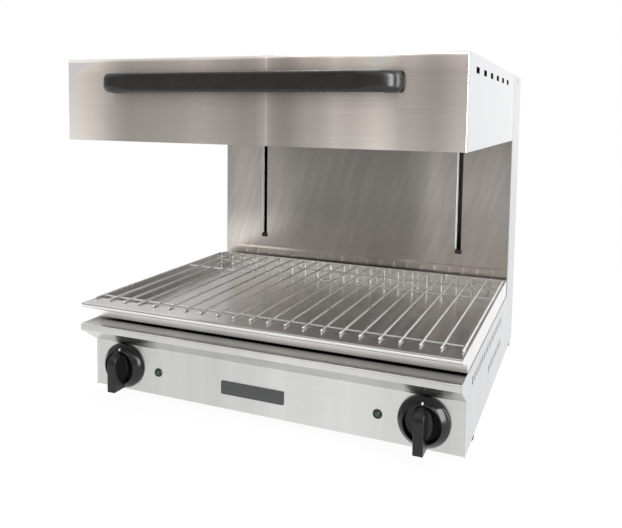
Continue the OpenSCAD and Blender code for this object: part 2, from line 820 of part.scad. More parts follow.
// A pan with sloping ends and a rim that rests on the hood's hem
module heat_reflector() {
    roof = [[y_reflector, z_reflector], [y_reflector + reflector_slope, z_roof],
            [y_reflector_back - reflector_slope, z_roof], [y_reflector_back, z_reflector]];
    rim = concat([[y_hood + bend_r, z_reflector]], roof, [[y_hood_back - sheet_t, z_reflector]]);
    color("silver") difference() {
        union() {
            along_x(-reflector_half, 2 * reflector_half) fold(rim, bend_r, -sheet_t);
            for (x = [-reflector_half, reflector_half - sheet_t])
                along_x(x, sheet_t) polygon(bent(roof, bend_r));
            for (x = [-half_w + bend_r, reflector_half - sheet_t])
                block([x, y_hood + bend_r, z_reflector - sheet_t],
                      [x + reflector_gap + sheet_t - bend_r, y_hood_back - sheet_t, z_reflector]);
        }
        for (s = [-1, 1], i = [0, element_runs - 1])
            bar_y(s * (element_first + i * element_pitch), z_element, element_r, y_run_back, y_hood_back);
    }
}

module insulation_blanket() {
    y_edge = reflector_slope + blanket_gap;
    color("lightyellow")
        block([-reflector_half + blanket_gap, y_reflector + y_edge, z_roof],
              [reflector_half - blanket_gap, y_reflector_back - y_edge, z_roof + blanket_t]);
}

// A tubular element: straight runs joined by half-round bends, and a terminal
// pin at each end, behind the reflector. Its lengths start at the front bends
module heating_element(s) {
    run_l = y_run_back - y_run_front;
    tube_l = y_hood_back - sheet_t - arm_plate_t - pin_gap - pin_l - y_run_front;
    color("#5a5148") translate([0, y_run_front, z_element]) {
        for (i = [0 : element_runs - 1])
            bar_y(s * (element_first + i * element_pitch), 0, element_r, 0,
                  i == 0 || i == element_runs - 1 ? tube_l : run_l);
        for (i = [0, element_runs - 1])
            bar_y(s * (element_first + i * element_pitch), 0, element_r / 2, tube_l, tube_l + pin_l);
        for (i = [0 : element_runs - 2])
            translate([s * (element_first + (i + 0.5) * element_pitch), i % 2 == 0 ? 0 : run_l, 0])
                rotate([0, 0, i % 2 == 0 ? 180 : 0])
                    rotate_extrude(angle = 180) translate([element_pitch / 2, 0]) circle(r = element_r);
    }
}

// Strips that hang from the reflector and carry the elements
module element_combs() {
    x0 = element_first - comb_over;
    x1 = element_first + (element_runs - 1) * element_pitch + comb_over;
    span = y_run_back - y_run_front;
    for (s = [-1, 1], y = [y_run_front + span / 5, y_run_back - span / 5])
        color("silver") difference() {
            block([s > 0 ? x0 : -x1, y, z_element - element_r - comb_drop],
                  [s > 0 ? x1 : -x0, y + comb_t, z_roof - sheet_t]);
            for (i = [0 : element_runs - 1])
                bar_y(s * (element_first + i * element_pitch), z_element, element_r,
                      y - eps, y + comb_t + eps);
        }
}

// Section of the handle's grip, its outer face towards -x
module grip_section() {
    translate([-handle_t / 2, 0]) round_rect(handle_t, handle_h, handle_edge);
}

// A bow of one section: a straight grip, two round ends and two feet
module handle() {
    straight = handle_l / 2 - handle_r;
    color(black) difference() {
        translate([0, 0, z_handle]) {
            translate([-straight, y_handle, 0]) rotate([90, 0, 90]) linear_extrude(2 * straight)
                mirror([1, 0]) grip_section();
            for (s = [-1, 1]) {
                translate([s * straight, y_handle + handle_r, 0]) rotate([0, 0, s > 0 ? -90 : 180])
                    rotate_extrude(angle = 90) translate([handle_r, 0]) grip_section();
                translate([s * (handle_l - handle_foot_l) / 2, y_hood, 0]) rotate([90, 0, 0])
                    linear_extrude(handle_foot_t) round_rect(handle_foot_l, handle_h, handle_edge);
            }
        }
        handle_bolt_places(bolt_r, y_hood - bolt_in, y_hood + eps);
    }
}

// Round bars where the bolts of the handle go
module handle_bolt_places(r, y0, y1) {
    for (s = [-1, 1]) bar_y(s * (handle_l - handle_t) / 2, z_handle, r, y0, y1);
}

module hood_bolts() {
    y_plate = y_hood_back - sheet_t - arm_plate_t;
    color(wire_steel) {
        for (s = [-1, 1]) {
            arm_bolt_places(s, bolt_head_r, y_plate - bolt_head_h, y_plate);
            arm_bolt_places(s, bolt_r, y_plate, y_hood_back);
        }
        handle_bolt_places(bolt_head_r, y_hood + sheet_t, y_hood + sheet_t + bolt_head_h);
        handle_bolt_places(bolt_r, y_hood - bolt_in, y_hood + sheet_t);
    }
}

// ---- Lift ----

module lift_arm(s) {
    y0 = y_hood_back - sheet_t;
    color(dark) difference() {
        union() {
            along_x(s * slot_x - arm_t / 2, arm_t)
                polygon([[y0, z_arm], [y_carriage, z_arm], [y_carriage, z_carriage_top],
                         [y_column + slot_lip, z_arm + arm_h], [y0, z_arm + arm_h]]);
            block([s * slot_x - arm_plate_w / 2, y0 - arm_plate_t, z_arm],
                  [s * slot_x + arm_plate_w / 2, y0, z_arm + arm_h]);
        }
        arm_bolt_places(s, bolt_r, y0 - arm_plate_t - eps, y0 + eps);
    }
}

// A C-shaped cross member with a housing for each guide bush
module lift_carriage() {
    y1 = y_carriage + carriage_d;
    color(dark) difference() {
        union() {
            along_x(-carriage_half, 2 * carriage_half)
                fold([[y1, z_carriage], [y_carriage, z_carriage],
                      [y_carriage, z_carriage_top], [y1, z_carriage_top]],
                     bend_r + carriage_t, -carriage_t);
            for (s = [-1, 1]) {
                bar_z(s * rod_x, y_rod, housing_r, z_carriage, z_carriage_top);
                bar_z(s * weight_x, y_rod, boss_r, z_carriage_top - carriage_t, z_carriage_top + boss_h);
            }
        }
        for (s = [-1, 1]) bar_z(s * rod_x, y_rod, bush_r, z_carriage - eps, z_carriage_top + eps);
    }
}

module guide_bush(s) {
    color("goldenrod") difference() {
        bar_z(s * rod_x, y_rod, bush_r, z_carriage, z_carriage_top);
        bar_z(s * rod_x, y_rod, rod_r + run_fit, z_carriage - eps, z_carriage_top + eps);
    }
}

module guide_rod(s) {
    color("lightgray") bar_z(s * rod_x, y_rod, rod_r, z_low_rail, z_rail + rail_t);
}

// A cross rail with tabs down its ends and holes for the guide rods
module rail(z0, y0, y1) {
    difference() {
        union() {
            block([-inner_x, y0, z0], [inner_x, y1, z0 + rail_t]);
            for (x = [-inner_x, inner_x - rail_t]) block([x, y0, z0 - rail_tab], [x + rail_t, y1, z0]);
        }
        for (s = [-1, 1]) bar_z(s * rod_x, y_rod, rod_r, z0 - eps, z0 + rail_t + eps);
    }
}

module top_rail() {
    color(dark) rail(z_rail, y_column + side_flange + rail_gap, y_cover - cap_lip);
}

module bottom_rail() {
    color(dark) rail(z_low_rail, y_rod - rod_d, y_rod + rod_d);
}

// Two cheeks below a plate that is fastened under the top rail
module pulley_bracket(s) {
    cheek_w = 3 * axle_r;
    half = cheek_gap / 2;
    color(dark) difference() {
        union() {
            block([s * weight_x - half - bracket_t, y_pulley - cheek_w, z_rail - bracket_t],
                  [s * weight_x + half + bracket_t, y_pulley + cheek_w, z_rail]);
            for (x = [-half - bracket_t, half]) {
                block([s * weight_x + x, y_pulley - cheek_w, z_pulley],
                      [s * weight_x + x + bracket_t, y_pulley + cheek_w, z_rail - bracket_t]);
                bar_x(y_pulley, z_pulley, cheek_w, s * weight_x + x, s * weight_x + x + bracket_t);
            }
        }
        bar_x(y_pulley, z_pulley, axle_r, s * weight_x - cheek_gap, s * weight_x + cheek_gap);
    }
}

// An axle with a head at each end
module pulley_axle(s) {
    reach = cheek_gap / 2 + bracket_t;
    color("lightgray") {
        bar_x(y_pulley, z_pulley, axle_r, s * weight_x - reach, s * weight_x + reach);
        for (x = [-reach - axle_head, reach])
            bar_x(y_pulley, z_pulley, axle_r + axle_head, s * weight_x + x, s * weight_x + x + axle_head);
    }
}

// A grooved pulley with four lightening holes
module pulley(s) {
    web = (groove_r + axle_r) / 2;
    color("lightgray") translate([s * weight_x, y_pulley, z_pulley]) rotate([0, 90, 0])
        difference() {
            rotate_extrude() difference() {
                translate([axle_r + run_fit, -pulley_w / 2])
                    square([pulley_rim_r - axle_r - run_fit, pulley_w]);
                polygon([[groove_r, -groove_w / 2], [groove_r, groove_w / 2],
                         [pulley_rim_r + eps, mouth_w / 2], [pulley_rim_r + eps, -mouth_w / 2]]);
            }
            for (a = [45 : 90 : 315]) rotate([0, 0, a]) translate([web, 0, -pulley_w])
                cylinder(h = 2 * pulley_w, d = (groove_r - axle_r) / 2);
        }
}

// A cast bar with round edges and a boss for the cable
module counterweight(s) {
    color(dark) {
        translate([s * weight_x, y_weight, z_weight]) linear_extrude(weight_h)
            round_rect(weight_w, weight_d, weight_round);
        bar_z(s * weight_x, y_weight, boss_r, z_weight_top, z_weight_top + boss_h);
    }
}

// A channel on the back cover that keeps a counterweight from swinging
module weight_channel(s) {
    half = weight_w / 2 + weight_gap;
    y0 = y_weight - weight_d / 2 - channel_over;
    color(steel) translate([s * weight_x, 0, z_base_top])
        linear_extrude(z_weight_top + lift_travel - z_base_top) {
            translate([-half - channel_t, y_cover - channel_t]) square([2 * (half + channel_t), channel_t]);
            for (x = [-half - channel_t, half]) translate([x, y0]) square([channel_t, y_cover - y0]);
        }
}

module lift_cables() {
    for (s = [-1, 1]) color("gray")
        bar_z(s * weight_x, y_rod, cable_d / 2, z_carriage_top + boss_h, z_pulley);
}

module cable_bends() {
    for (s = [-1, 1]) color("gray") translate([s * weight_x, y_pulley, z_pulley]) rotate([90, 0, 90])
        rotate_extrude(angle = 180) translate([pulley_r, 0]) circle(d = cable_d);
}

module weight_cable(s) {
    color("gray") bar_z(s * weight_x, y_weight, cable_d / 2, z_weight_top + boss_h, z_pulley);
}

// ---- Controls ----

// Section of the knob's domed skirt: radius, height
function dome_section() =
    let (crown_r = knob_recess_d / 2,
         rise = knob_dome_h - knob_rim_h)
    concat([[0, 0], [knob_r, 0], [knob_r, knob_rim_h]],
           [for (a = [15 : 15 : 90]) [crown_r + (knob_r - crown_r) * cos(a), knob_rim_h + rise * sin(a)]],
           [[0, knob_dome_h]]);

// A lens with pointed ends: w wide and l long
module lens_2d(w, l) {
    r = (l * l + w * w) / (4 * w);
    intersection_for (s = [-1, 1]) translate([s * (r - w / 2), 0]) circle(r = r, $fn = 96);
}

// The grip: a bar with a blunt lower end, rounded and pointed at its upper end
module knob_grip() {
    intersection() {
        linear_extrude(knob_face) union() {
            intersection() {
                square([grip_w, 2 * grip_top], center = true);
                lens_2d(pedestal_w, 2 * grip_top);
            }
            translate([-grip_w / 2, grip_low]) square([grip_w, -grip_low]);
        }
        along_x(-grip_w, 2 * grip_w)
            polygon(outline([[grip_low, 0, 0], [grip_top, 0, 0], [grip_top, knob_face, grip_round],
                             [grip_low, knob_face, grip_edge]]));
    }
}

module knob(s) {
    color(black) translate([s * knob_x, y_case - knob_gap, z_knob]) rotate([90, 0, 0])
        difference() {
            union() {
                difference() {
                    rotate_extrude() polygon(dome_section());
                    translate([0, 0, knob_floor]) cylinder(h = knob_dome_h, d = knob_recess_d);
                }
                linear_extrude(pedestal_h) lens_2d(pedestal_w, 2 * grip_top);
                knob_grip();
            }
            translate([0, 0, -eps]) cylinder(h = spindle_in + eps, r = spindle_r);
        }
}

module spindle(s) {
    color("goldenrod")
        bar_y(s * knob_x, z_knob, spindle_r, y_case - knob_gap - spindle_in, y_case + spindle_in);
}

module regulator(s) {
    y0 = y_case + sheet_t;
    y1 = y0 + regulator_d;
    z_tag = z_knob - regulator_w / 2 + regulator_round + tag_t;
    color("whitesmoke") difference() {
        union() {
            translate([s * knob_x, y1, z_knob]) rotate([90, 0, 0])
                linear_extrude(regulator_d) round_rect(regulator_w, regulator_w, regulator_round);
            bar_y(s * knob_x, z_knob, neck_r, y_case - neck_out, y0);
            for (x = [-tag_pitch, 0, tag_pitch])
                block([s * knob_x + x - tag_w / 2, y1, z_tag],
                      [s * knob_x + x + tag_w / 2, y1 + tag_l, z_tag + tag_t]);
        }
        bar_y(s * knob_x, z_knob, spindle_r + run_fit, y_case - 2 * neck_out, y_case + spindle_in + free_gap);
    }
}

module lamp_bezel(s) {
    x = s * lamp_x;
    z = z_case + lamp_z;
    color(black) difference() {
        union() {
            translate([x, y_case, z]) rotate([90, 0, 0])
                cylinder(h = bezel_h, d1 = lamp_d, d2 = lamp_d - bezel_h);
            bar_y(x, z, lamp_body_r, y_case, y_case + lamp_body_l);
        }
        bar_y(x, z, lens_r, y_case - bezel_h - eps, y_case + lamp_body_l - lamp_end_t);
    }
}

module lamp_lens(s) {
    y0 = y_case - lens_out + lens_slope;
    color("darkgreen") {
        bar_y(s * lamp_x, z_case + lamp_z, lens_r, y0, y_case + lens_in);
        translate([s * lamp_x, y0, z_case + lamp_z]) rotate([90, 0, 0])
            cylinder(h = lens_slope, r1 = lens_r, r2 = lens_r - lens_slope);
    }
}

// A bare plate, with nothing on it
module name_plate() {
    color("#3c4043") translate([plate_x, y_case, z_case + plate_z]) rotate([90, 0, 0])
        linear_extrude(plate_t) round_rect(plate_l, plate_h, plate_round);
}

// ---- Supply ----

// Three poles with walls between them, each with two clamp screws
module terminal_block() {
    half = 1.5 * pole_w;
    x = -foot_x + stud_r + block_gap + half;
    y0 = y_rod + rod_d + block_gap;
    z0 = z_base_top;
    color("ivory") difference() {
        union() {
            block([x - half, y0, z0], [x + half, y0 + pole_l, z0 + pole_h]);
            for (i = [-1.5 : 1.5])
                block([x + i * pole_w - pole_wall / 2, y0, z0],
                      [x + i * pole_w + pole_wall / 2, y0 + pole_l, z0 + pole_wall_h]);
        }
        for (i = [-1 : 1], y = [pole_l / 4, pole_l * 3 / 4])
            bar_z(x + i * pole_w, y0 + y, bolt_r, z0 + pole_h / 3, z0 + pole_h + eps);
    }
}

module cable_gland() {
    x = -gland_x;
    z = z_case + gland_z;
    bore_r = gland_bore / 2;
    color(black) difference() {
        union() {
            bar_y(x, z, bore_r + gland_wall, y_cover - gland_nut, y_back);
            for (y = [y_cover - gland_nut, y_back])
                translate([x, y, z]) rotate([-90, 0, 0])
                    cylinder(h = gland_nut, r = bore_r + gland_nut_wall, $fn = 6);
            bar_y(x, z, bore_r + gland_cap_wall, y_back + gland_nut, y_back + gland_out - gland_wall);
            translate([x, y_back + gland_out - gland_wall, z]) rotate([-90, 0, 0])
                cylinder(h = gland_wall, r1 = bore_r + gland_cap_wall, r2 = bore_r + gland_wall);
        }
        bar_y(x, z, bore_r, y_cover - gland_nut - eps, y_back + gland_out + eps);
    }
}

// ---- The nodes ----

side_panel(-1);  // side_panel_left
side_panel(1);  // side_panel_right
front_panel();
deck_plate();
base_plate();
feet();
column_front();
slot_buffers();
back_cover();
column_cap();
case_screws();
drip_tray();
wire_rack();
hood_shell();
hood_back();
heat_reflector();
insulation_blanket();
heating_element(-1);  // element_left
heating_element(1);  // element_right
element_combs();
handle();
hood_bolts();
lift_arm(-1);  // lift_arm_left
lift_arm(1);  // lift_arm_right
lift_carriage();
guide_bush(-1);  // guide_bush_left
guide_bush(1);  // guide_bush_right
guide_rod(-1);  // guide_rod_left
guide_rod(1);  // guide_rod_right
top_rail();
bottom_rail();
pulley_bracket(-1);  // pulley_bracket_left
pulley_bracket(1);  // pulley_bracket_right
pulley_axle(-1);  // pulley_axle_left
pulley_axle(1);  // pulley_axle_right
pulley(-1);  // pulley_left
pulley(1);  // pulley_right
counterweight(-1);  // counterweight_left
counterweight(1);  // counterweight_right
weight_channel(-1);  // weight_channel_left
weight_channel(1);  // weight_channel_right
lift_cables();
cable_bends();
weight_cable(-1);  // weight_cable_left
weight_cable(1);  // weight_cable_right
knob(-1);  // knob_left
knob(1);  // knob_right
spindle(-1);  // spindle_left
spindle(1);  // spindle_right
regulator(-1);  // regulator_left
regulator(1);  // regulator_right
lamp_bezel(-1);  // lamp_bezel_left
lamp_bezel(1);  // lamp_bezel_right
lamp_lens(-1);  // lamp_lens_left
lamp_lens(1);  // lamp_lens_right
name_plate();
terminal_block();
cable_gland();
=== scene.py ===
import math
from collections import namedtuple

import bmesh
import bpy
from mathutils import Matrix, Vector


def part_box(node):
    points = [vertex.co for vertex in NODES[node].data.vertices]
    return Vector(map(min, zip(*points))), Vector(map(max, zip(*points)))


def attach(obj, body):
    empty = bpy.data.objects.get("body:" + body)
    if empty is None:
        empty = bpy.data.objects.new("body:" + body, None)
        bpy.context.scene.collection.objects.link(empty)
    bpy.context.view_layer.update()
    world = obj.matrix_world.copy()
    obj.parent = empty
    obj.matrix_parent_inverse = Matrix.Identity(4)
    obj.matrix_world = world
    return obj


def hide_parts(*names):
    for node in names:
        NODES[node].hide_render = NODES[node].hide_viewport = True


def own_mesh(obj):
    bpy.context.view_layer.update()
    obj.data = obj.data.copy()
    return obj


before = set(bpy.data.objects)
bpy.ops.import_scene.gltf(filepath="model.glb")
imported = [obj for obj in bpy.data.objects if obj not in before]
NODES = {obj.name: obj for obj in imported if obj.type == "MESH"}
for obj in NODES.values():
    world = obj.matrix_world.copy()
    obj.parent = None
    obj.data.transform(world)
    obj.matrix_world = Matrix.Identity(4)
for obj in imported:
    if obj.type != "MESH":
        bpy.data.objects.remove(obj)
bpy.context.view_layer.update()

MM = 0.001
QUARTER = math.pi / 2

# ---- Camera: fitted to the corners of the case, hood and column in the photo ----

IMAGE_W = 622.0
IMAGE_H = 528.0
SENSOR_MM = 36.0
CAMERA_PLACE = Vector((0.43798, -1.10125, 0.45703))
CAMERA_YAW = math.radians(22.592)      # to the left of +Y
CAMERA_PITCH = math.radians(-4.695)
CAMERA_ROLL = math.radians(-0.764)
FOCAL_PX = 677.8
PRINCIPAL_ROW = 170.0                  # the photo's row that the camera points at


def add_camera():
    ahead = Vector((-math.sin(CAMERA_YAW) * math.cos(CAMERA_PITCH),
                    math.cos(CAMERA_YAW) * math.cos(CAMERA_PITCH),
                    math.sin(CAMERA_PITCH)))
    level = Vector((math.cos(CAMERA_YAW), math.sin(CAMERA_YAW), 0.0))
    down = ahead.cross(level)
    right = math.cos(CAMERA_ROLL) * level + math.sin(CAMERA_ROLL) * down
    up = math.sin(CAMERA_ROLL) * level - math.cos(CAMERA_ROLL) * down
    data = bpy.data.cameras.new("camera")
    data.sensor_width = SENSOR_MM
    data.lens = FOCAL_PX / IMAGE_W * SENSOR_MM
    data.shift_y = (PRINCIPAL_ROW - IMAGE_H / 2) / IMAGE_W
    camera = bpy.data.objects.new("camera", data)
    bpy.context.scene.collection.objects.link(camera)
    turn = Matrix((right, up, -ahead)).transposed()
    camera.matrix_world = Matrix.Translation(CAMERA_PLACE) @ turn.to_4x4()
    bpy.context.scene.camera = camera


add_camera()

# ---- Shader helpers ----

WHITE = (1.0, 1.0, 1.0, 1.0)


def add_node(tree, kind, inputs=None, **settings):
    """A shader node. An input is a value or the output socket that feeds it."""
    node = tree.nodes.new(kind)
    for key, value in settings.items():
        setattr(node, key, value)
    for key, value in (inputs or {}).items():
        if isinstance(value, bpy.types.NodeSocket):
            tree.links.new(value, node.inputs[key])
        else:
            node.inputs[key].default_value = value
    return node


def calc(tree, operation, a, b=0.0, c=0.0):
    return add_node(tree, "ShaderNodeMath", {0: a, 1: b, 2: c}, operation=operation).outputs[0]


def times(tree, a, b):
    return calc(tree, "MULTIPLY", a, b)


def size_of(tree, value):
    return calc(tree, "ABSOLUTE", value)


def vector_calc(tree, operation, a, b=(0.0, 0.0, 0.0)):
    return add_node(tree, "ShaderNodeVectorMath", {0: a, 1: b}, operation=operation)


def split(tree, vector):
    """The outputs X, Y and Z of a vector."""
    return add_node(tree, "ShaderNodeSeparateXYZ", {0: vector}).outputs


def ramp(tree, value, low, high, to_low=0.0, to_high=1.0):
    """A smooth step from to_low to to_high, as value goes from low to high."""
    ends = {"From Min": low, "From Max": high, "To Min": to_low, "To Max": to_high}
    return add_node(tree, "ShaderNodeMapRange", {"Value": value, **ends},
                    interpolation_type="SMOOTHSTEP").outputs["Result"]


def vary(tree, value, span, share):
    """A factor from 1 - share to 1 + share, as value crosses the span."""
    return ramp(tree, value, *span, 1 - share, 1 + share)


def swing(tree, value, width, middle):
    """A number that swings as wide as given about its middle, as value goes from 0 to 1."""
    return calc(tree, "MULTIPLY_ADD", calc(tree, "SUBTRACT", value, 0.5), width, middle)


def within(tree, value, low, high):
    """1 between the two limits, and 0 outside."""
    return times(tree, calc(tree, "GREATER_THAN", value, low), calc(tree, "LESS_THAN", value, high))


def mix_colours(tree, share, a, b):
    return add_node(tree, "ShaderNodeMix", {0: share, 6: a, 7: b}, data_type="RGBA").outputs[2]


def mix_numbers(tree, share, a, b):
    return add_node(tree, "ShaderNodeMix", {0: share, 2: a, 3: b}, data_type="FLOAT").outputs[0]


def opaque(colour):
    return (*colour, 1.0)


def shade(colour, factor):
    return opaque([min(1.0, c * factor) for c in colour])


def object_place(tree):
    return add_node(tree, "ShaderNodeTexCoord").outputs["Object"]


def noise(tree, place, scale, detail=3.0, roughness=0.55):
    """Noise from 0 to 1. The scale is one number, or one for each axis, in cycles a metre."""
    if isinstance(scale, tuple):
        place = vector_calc(tree, "MULTIPLY", place, scale).outputs["Vector"]
        scale = 1.0
    inputs = {"Vector": place, "Scale": scale, "Detail": detail, "Roughness": roughness}
    return add_node(tree, "ShaderNodeTexNoise", inputs).outputs["Fac"]


def bump(tree, height, distance):
    return add_node(tree, "ShaderNodeBump", {"Height": height, "Distance": distance}).outputs["Normal"]


def new_material(name):
    """An empty material: its node tree and its Principled shader."""
    material = bpy.data.materials.new(name)
    material.use_nodes = True
    tree = material.node_tree
    shader = tree.nodes["Principled BSDF"]
    return material, tree, shader


def feed(tree, shader, **sockets):
    """Sets or links the shader's inputs; an underscore in a name stands for a space."""
    for key, value in sockets.items():
        name = key.replace("_", " ")
        if isinstance(value, bpy.types.NodeSocket):
            tree.links.new(value, shader.inputs[name])
        else:
            shader.inputs[name].default_value = value


# ---- Brushed steel ----

GRAIN_LONG = 10.0        # cycles a metre along the brushing
GRAIN_FINE = 1300.0      # and across it
GRAIN_SPAN = (0.25, 0.75)        # the part of the noise that shows
GRAIN_DEPTH = 0.00001
ANISOTROPY = 0.75
STREAK_SCALE = (17.0, 17.0, 0.6)     # soft upright streaks: painted reflection streaks
STREAK_SPAN = (0.3, 0.7)
SMEAR_SCALE = (9.0, 9.0, 2.0)    # smears that dull the gloss
SMEAR_WIDTH = 0.12
SIDE_FACING = 0.7        # the normal's X beyond which a face looks to the side

HOOD_PAINTED_REFLECTIONS = (           # painted reflections: soft upright bands, lighter and darker, on standing faces:
    (-0.290, 0.100, 1.40),   # middle, half width, lift
    (-0.070, 0.070, 0.20),
    (0.031, 0.015, 0.22),
    (0.034, 0.0025, 0.35),
    (0.062, 0.030, -0.20),
    (0.133, 0.014, 0.14),
    (0.180, 0.115, 0.80),
    (0.192, 0.030, 0.35),
    (0.300, 0.045, 0.75),
)
# painted reflections on the column: middle, half width, lift
COLUMN_PAINTED_REFLECTIONS = (
    (-0.250, 0.170, 0.62),
    (0.155, 0.065, 0.65),
    (0.255, 0.140, 0.72),
)
# a painted reflection on the fascia: middle, half width, lift
FASCIA_PAINTED_REFLECTIONS = (
    (0.100, 0.190, 0.15),
)
STANDING_SPAN = (0.3, 0.8)       # the size of the normal's Z from standing to level faces

SLANT_STREAK_LEAN = 0.32        # lean of the painted reflection streaks that slant across the column
SLANT_STREAK_SCALE = (70.0, 1.0, 5.0)
SLANT_STREAK_SPAN = (0.35, 0.7)
SLANT_STREAK_SHARE = 0.055
FOOT_LOW = 0.175         # painted reflection: the column is brighter towards its foot
FOOT_HIGH = 0.27
FOOT_LIFT = 1.75

BEND_FACING = (0.1, 0.85)        # the normal's Z on the tray's bends, which get painted shade
BEND_SHADE = 0.5
LIP_FACING = -0.9        # the normal's Y on the tray's front lip, which gets painted light
LIP_LIFT = 1.3

HANDLE_HALF = 0.215      # the handle's painted shadow on the hood is this far to each side of its middle,
HANDLE_TOP = 0.505       # below here, a little lower than the handle's upper edge:
HANDLE_FOOT = 0.486      # full from the handle's lower edge up,
HANDLE_SHADOW_END = 0.458  # and none below here
HANDLE_SHADOW_SHADE = 0.84
HOOD_TOP = 0.534
HOOD_TOP_LIFT = 1.3      # painted light: the hood is brighter above the handle

SHELF_FACING = 0.7       # the normal's Z on the ledge's top
LEDGE_BACK = -0.232      # the ledge's top has its darkest painted shade here,
LEDGE_FRONT = -0.264     # and none from here forward
LEDGE_SHADE = 0.22
TILT_SPAN = (0.2, 0.5)   # the size of the normal's Z on faces that tilt up or down
SHELF_ROUGHNESS = 0.16   # of the fascia's faces that look up,
SLOPE_ROUGHNESS = 0.21   # and of those that look down

LOUVRE_PITCH = 17.5 * MM
LOUVRE_W = 3.5 * MM
LOUVRE_HALF = 6.3 * MM
LOUVRE_LAST = 112.75 * MM
LOUVRE_ROWS = (          # height, and the first slot's place along Y
    (98.0 * MM, -184.75 * MM),
    (59.0 * MM, -27.25 * MM),
)
SCOOP = 5.5 * MM         # how far behind a slot its painted shade reaches, as from a pressed scoop
SCOOP_SHADE = 0.92
# the painted shade in the louvre slots
LOUVRE_PAINTED_SHADE = (0.02, 0.02, 0.022)

# A point's place on its piece, and the way that the surface faces there
Spot = namedtuple("Spot", "x y z facing_x facing_y facing_z")


def spot_at(tree, place):
    at = split(tree, place)
    facing = split(tree, add_node(tree, "ShaderNodeTexCoord").outputs["Normal"])
    return Spot(at["X"], at["Y"], at["Z"], facing["X"], facing["Y"], facing["Z"])


def painted_reflection_bands(tree, spot, bands):
    """Painted reflections: one plus the lift of each soft band that the spot is in, on standing faces
    alone.
    """
    total = 1.0
    for middle, half, lift in bands:
        off = size_of(tree, calc(tree, "SUBTRACT", spot.x, middle))
        total = calc(tree, "ADD", ramp(tree, off, 0.0, half, lift, 0.0), total)
    standing = ramp(tree, size_of(tree, spot.facing_z), *STANDING_SPAN, 1.0, 0.0)
    return mix_numbers(tree, standing, 1.0, total)


# Marks: each is a factor for the steel's tone at a spot, painted light and shade


def painted_slant_streaks(tree, spot):
    """Slanting painted reflection streaks, a little lighter and darker."""
    lean = calc(tree, "MULTIPLY_ADD", spot.z, -SLANT_STREAK_LEAN, spot.x)
    slanting = add_node(tree, "ShaderNodeCombineXYZ", {"X": lean, "Z": spot.z}).outputs["Vector"]
    slant_streaks = noise(tree, slanting, SLANT_STREAK_SCALE, roughness=0.6)
    return vary(tree, slant_streaks, SLANT_STREAK_SPAN, SLANT_STREAK_SHARE)


# Painted reflection of the tray: the column is brighter towards its foot.
def painted_foot_reflection(tree, spot):
    return ramp(tree, spot.z, FOOT_LOW, FOOT_HIGH, FOOT_LIFT, 1.0)


# Painted shade on the tray's bends.
def painted_shade_on_bends(tree, spot):
    return mix_numbers(tree, within(tree, spot.facing_z, *BEND_FACING), 1.0, BEND_SHADE)


# Painted light on the tray's front lip.
def painted_lip_highlight(tree, spot):
    return mix_numbers(tree, calc(tree, "LESS_THAN", spot.facing_y, LIP_FACING), 1.0, LIP_LIFT)


def painted_handle_shadow(tree, spot):
    """Painted shadow: the hood is darker behind the handle and just below it."""
    beside = times(tree, within(tree, spot.x, -HANDLE_HALF, HANDLE_HALF),
                   calc(tree, "LESS_THAN", spot.z, HANDLE_TOP))
    cast_shadow = ramp(tree, spot.z, HANDLE_SHADOW_END, HANDLE_FOOT, 1.0, HANDLE_SHADOW_SHADE)
    return mix_numbers(tree, beside, 1.0, cast_shadow)


# Painted light on the hood above the handle.
def painted_top_light(tree, spot):
    return ramp(tree, spot.z, HANDLE_TOP, HOOD_TOP, 1.0, HOOD_TOP_LIFT)


def painted_ledge_shade(tree, spot):
    """Painted shade under the tray's lip: the ledge's top gets darker towards the tray."""
    upward = calc(tree, "GREATER_THAN", spot.facing_z, SHELF_FACING)
    cavity_shade = ramp(tree, spot.y, LEDGE_FRONT, LEDGE_BACK, 1.0, LEDGE_SHADE)
    return mix_numbers(tree, upward, 1.0, cavity_shade)


def ledge_gloss(tree, spot, dull):
    """The fascia's roughness, less on its faces that tilt up or down."""
    near, far = TILT_SPAN
    dull = mix_numbers(tree, ramp(tree, spot.facing_z, near, far), dull, SHELF_ROUGHNESS)
    return mix_numbers(tree, ramp(tree, spot.facing_z, -near, -far), dull, SLOPE_ROUGHNESS)


def louvre_shade(tree, spot, side):
    """Painted shade: 1 on the walls of the louvre slots, and less behind each slot, on the outer face."""
    zone = 0.0
    for middle, first in LOUVRE_ROWS:
        row = times(tree, within(tree, spot.z, middle - LOUVRE_HALF, middle + LOUVRE_HALF),
                    within(tree, spot.y, first - LOUVRE_W, LOUVRE_LAST + LOUVRE_PITCH / 2))
        zone = calc(tree, "MAXIMUM", zone, row)
    start = LOUVRE_ROWS[0][1] - LOUVRE_W / 2
    behind = calc(tree, "MODULO", calc(tree, "SUBTRACT", spot.y, start), LOUVRE_PITCH)
    fade = ramp(tree, behind, LOUVRE_W, LOUVRE_W + SCOOP, 1.0, 0.0)
    return times(tree, times(tree, zone, fade), mix_numbers(tree, side, 1.0, SCOOP_SHADE))


def brushing_tangent(tree, side):
    """The way in the surface across the brushing, which goes along X, or along Y on the sides."""
    length_way = mix_colours(tree, side, (1.0, 0.0, 0.0, 1.0), (0.0, 1.0, 0.0, 1.0))
    normal = add_node(tree, "ShaderNodeNewGeometry").outputs["Normal"]
    return vector_calc(tree, "CROSS_PRODUCT", normal, length_way).outputs["Vector"]


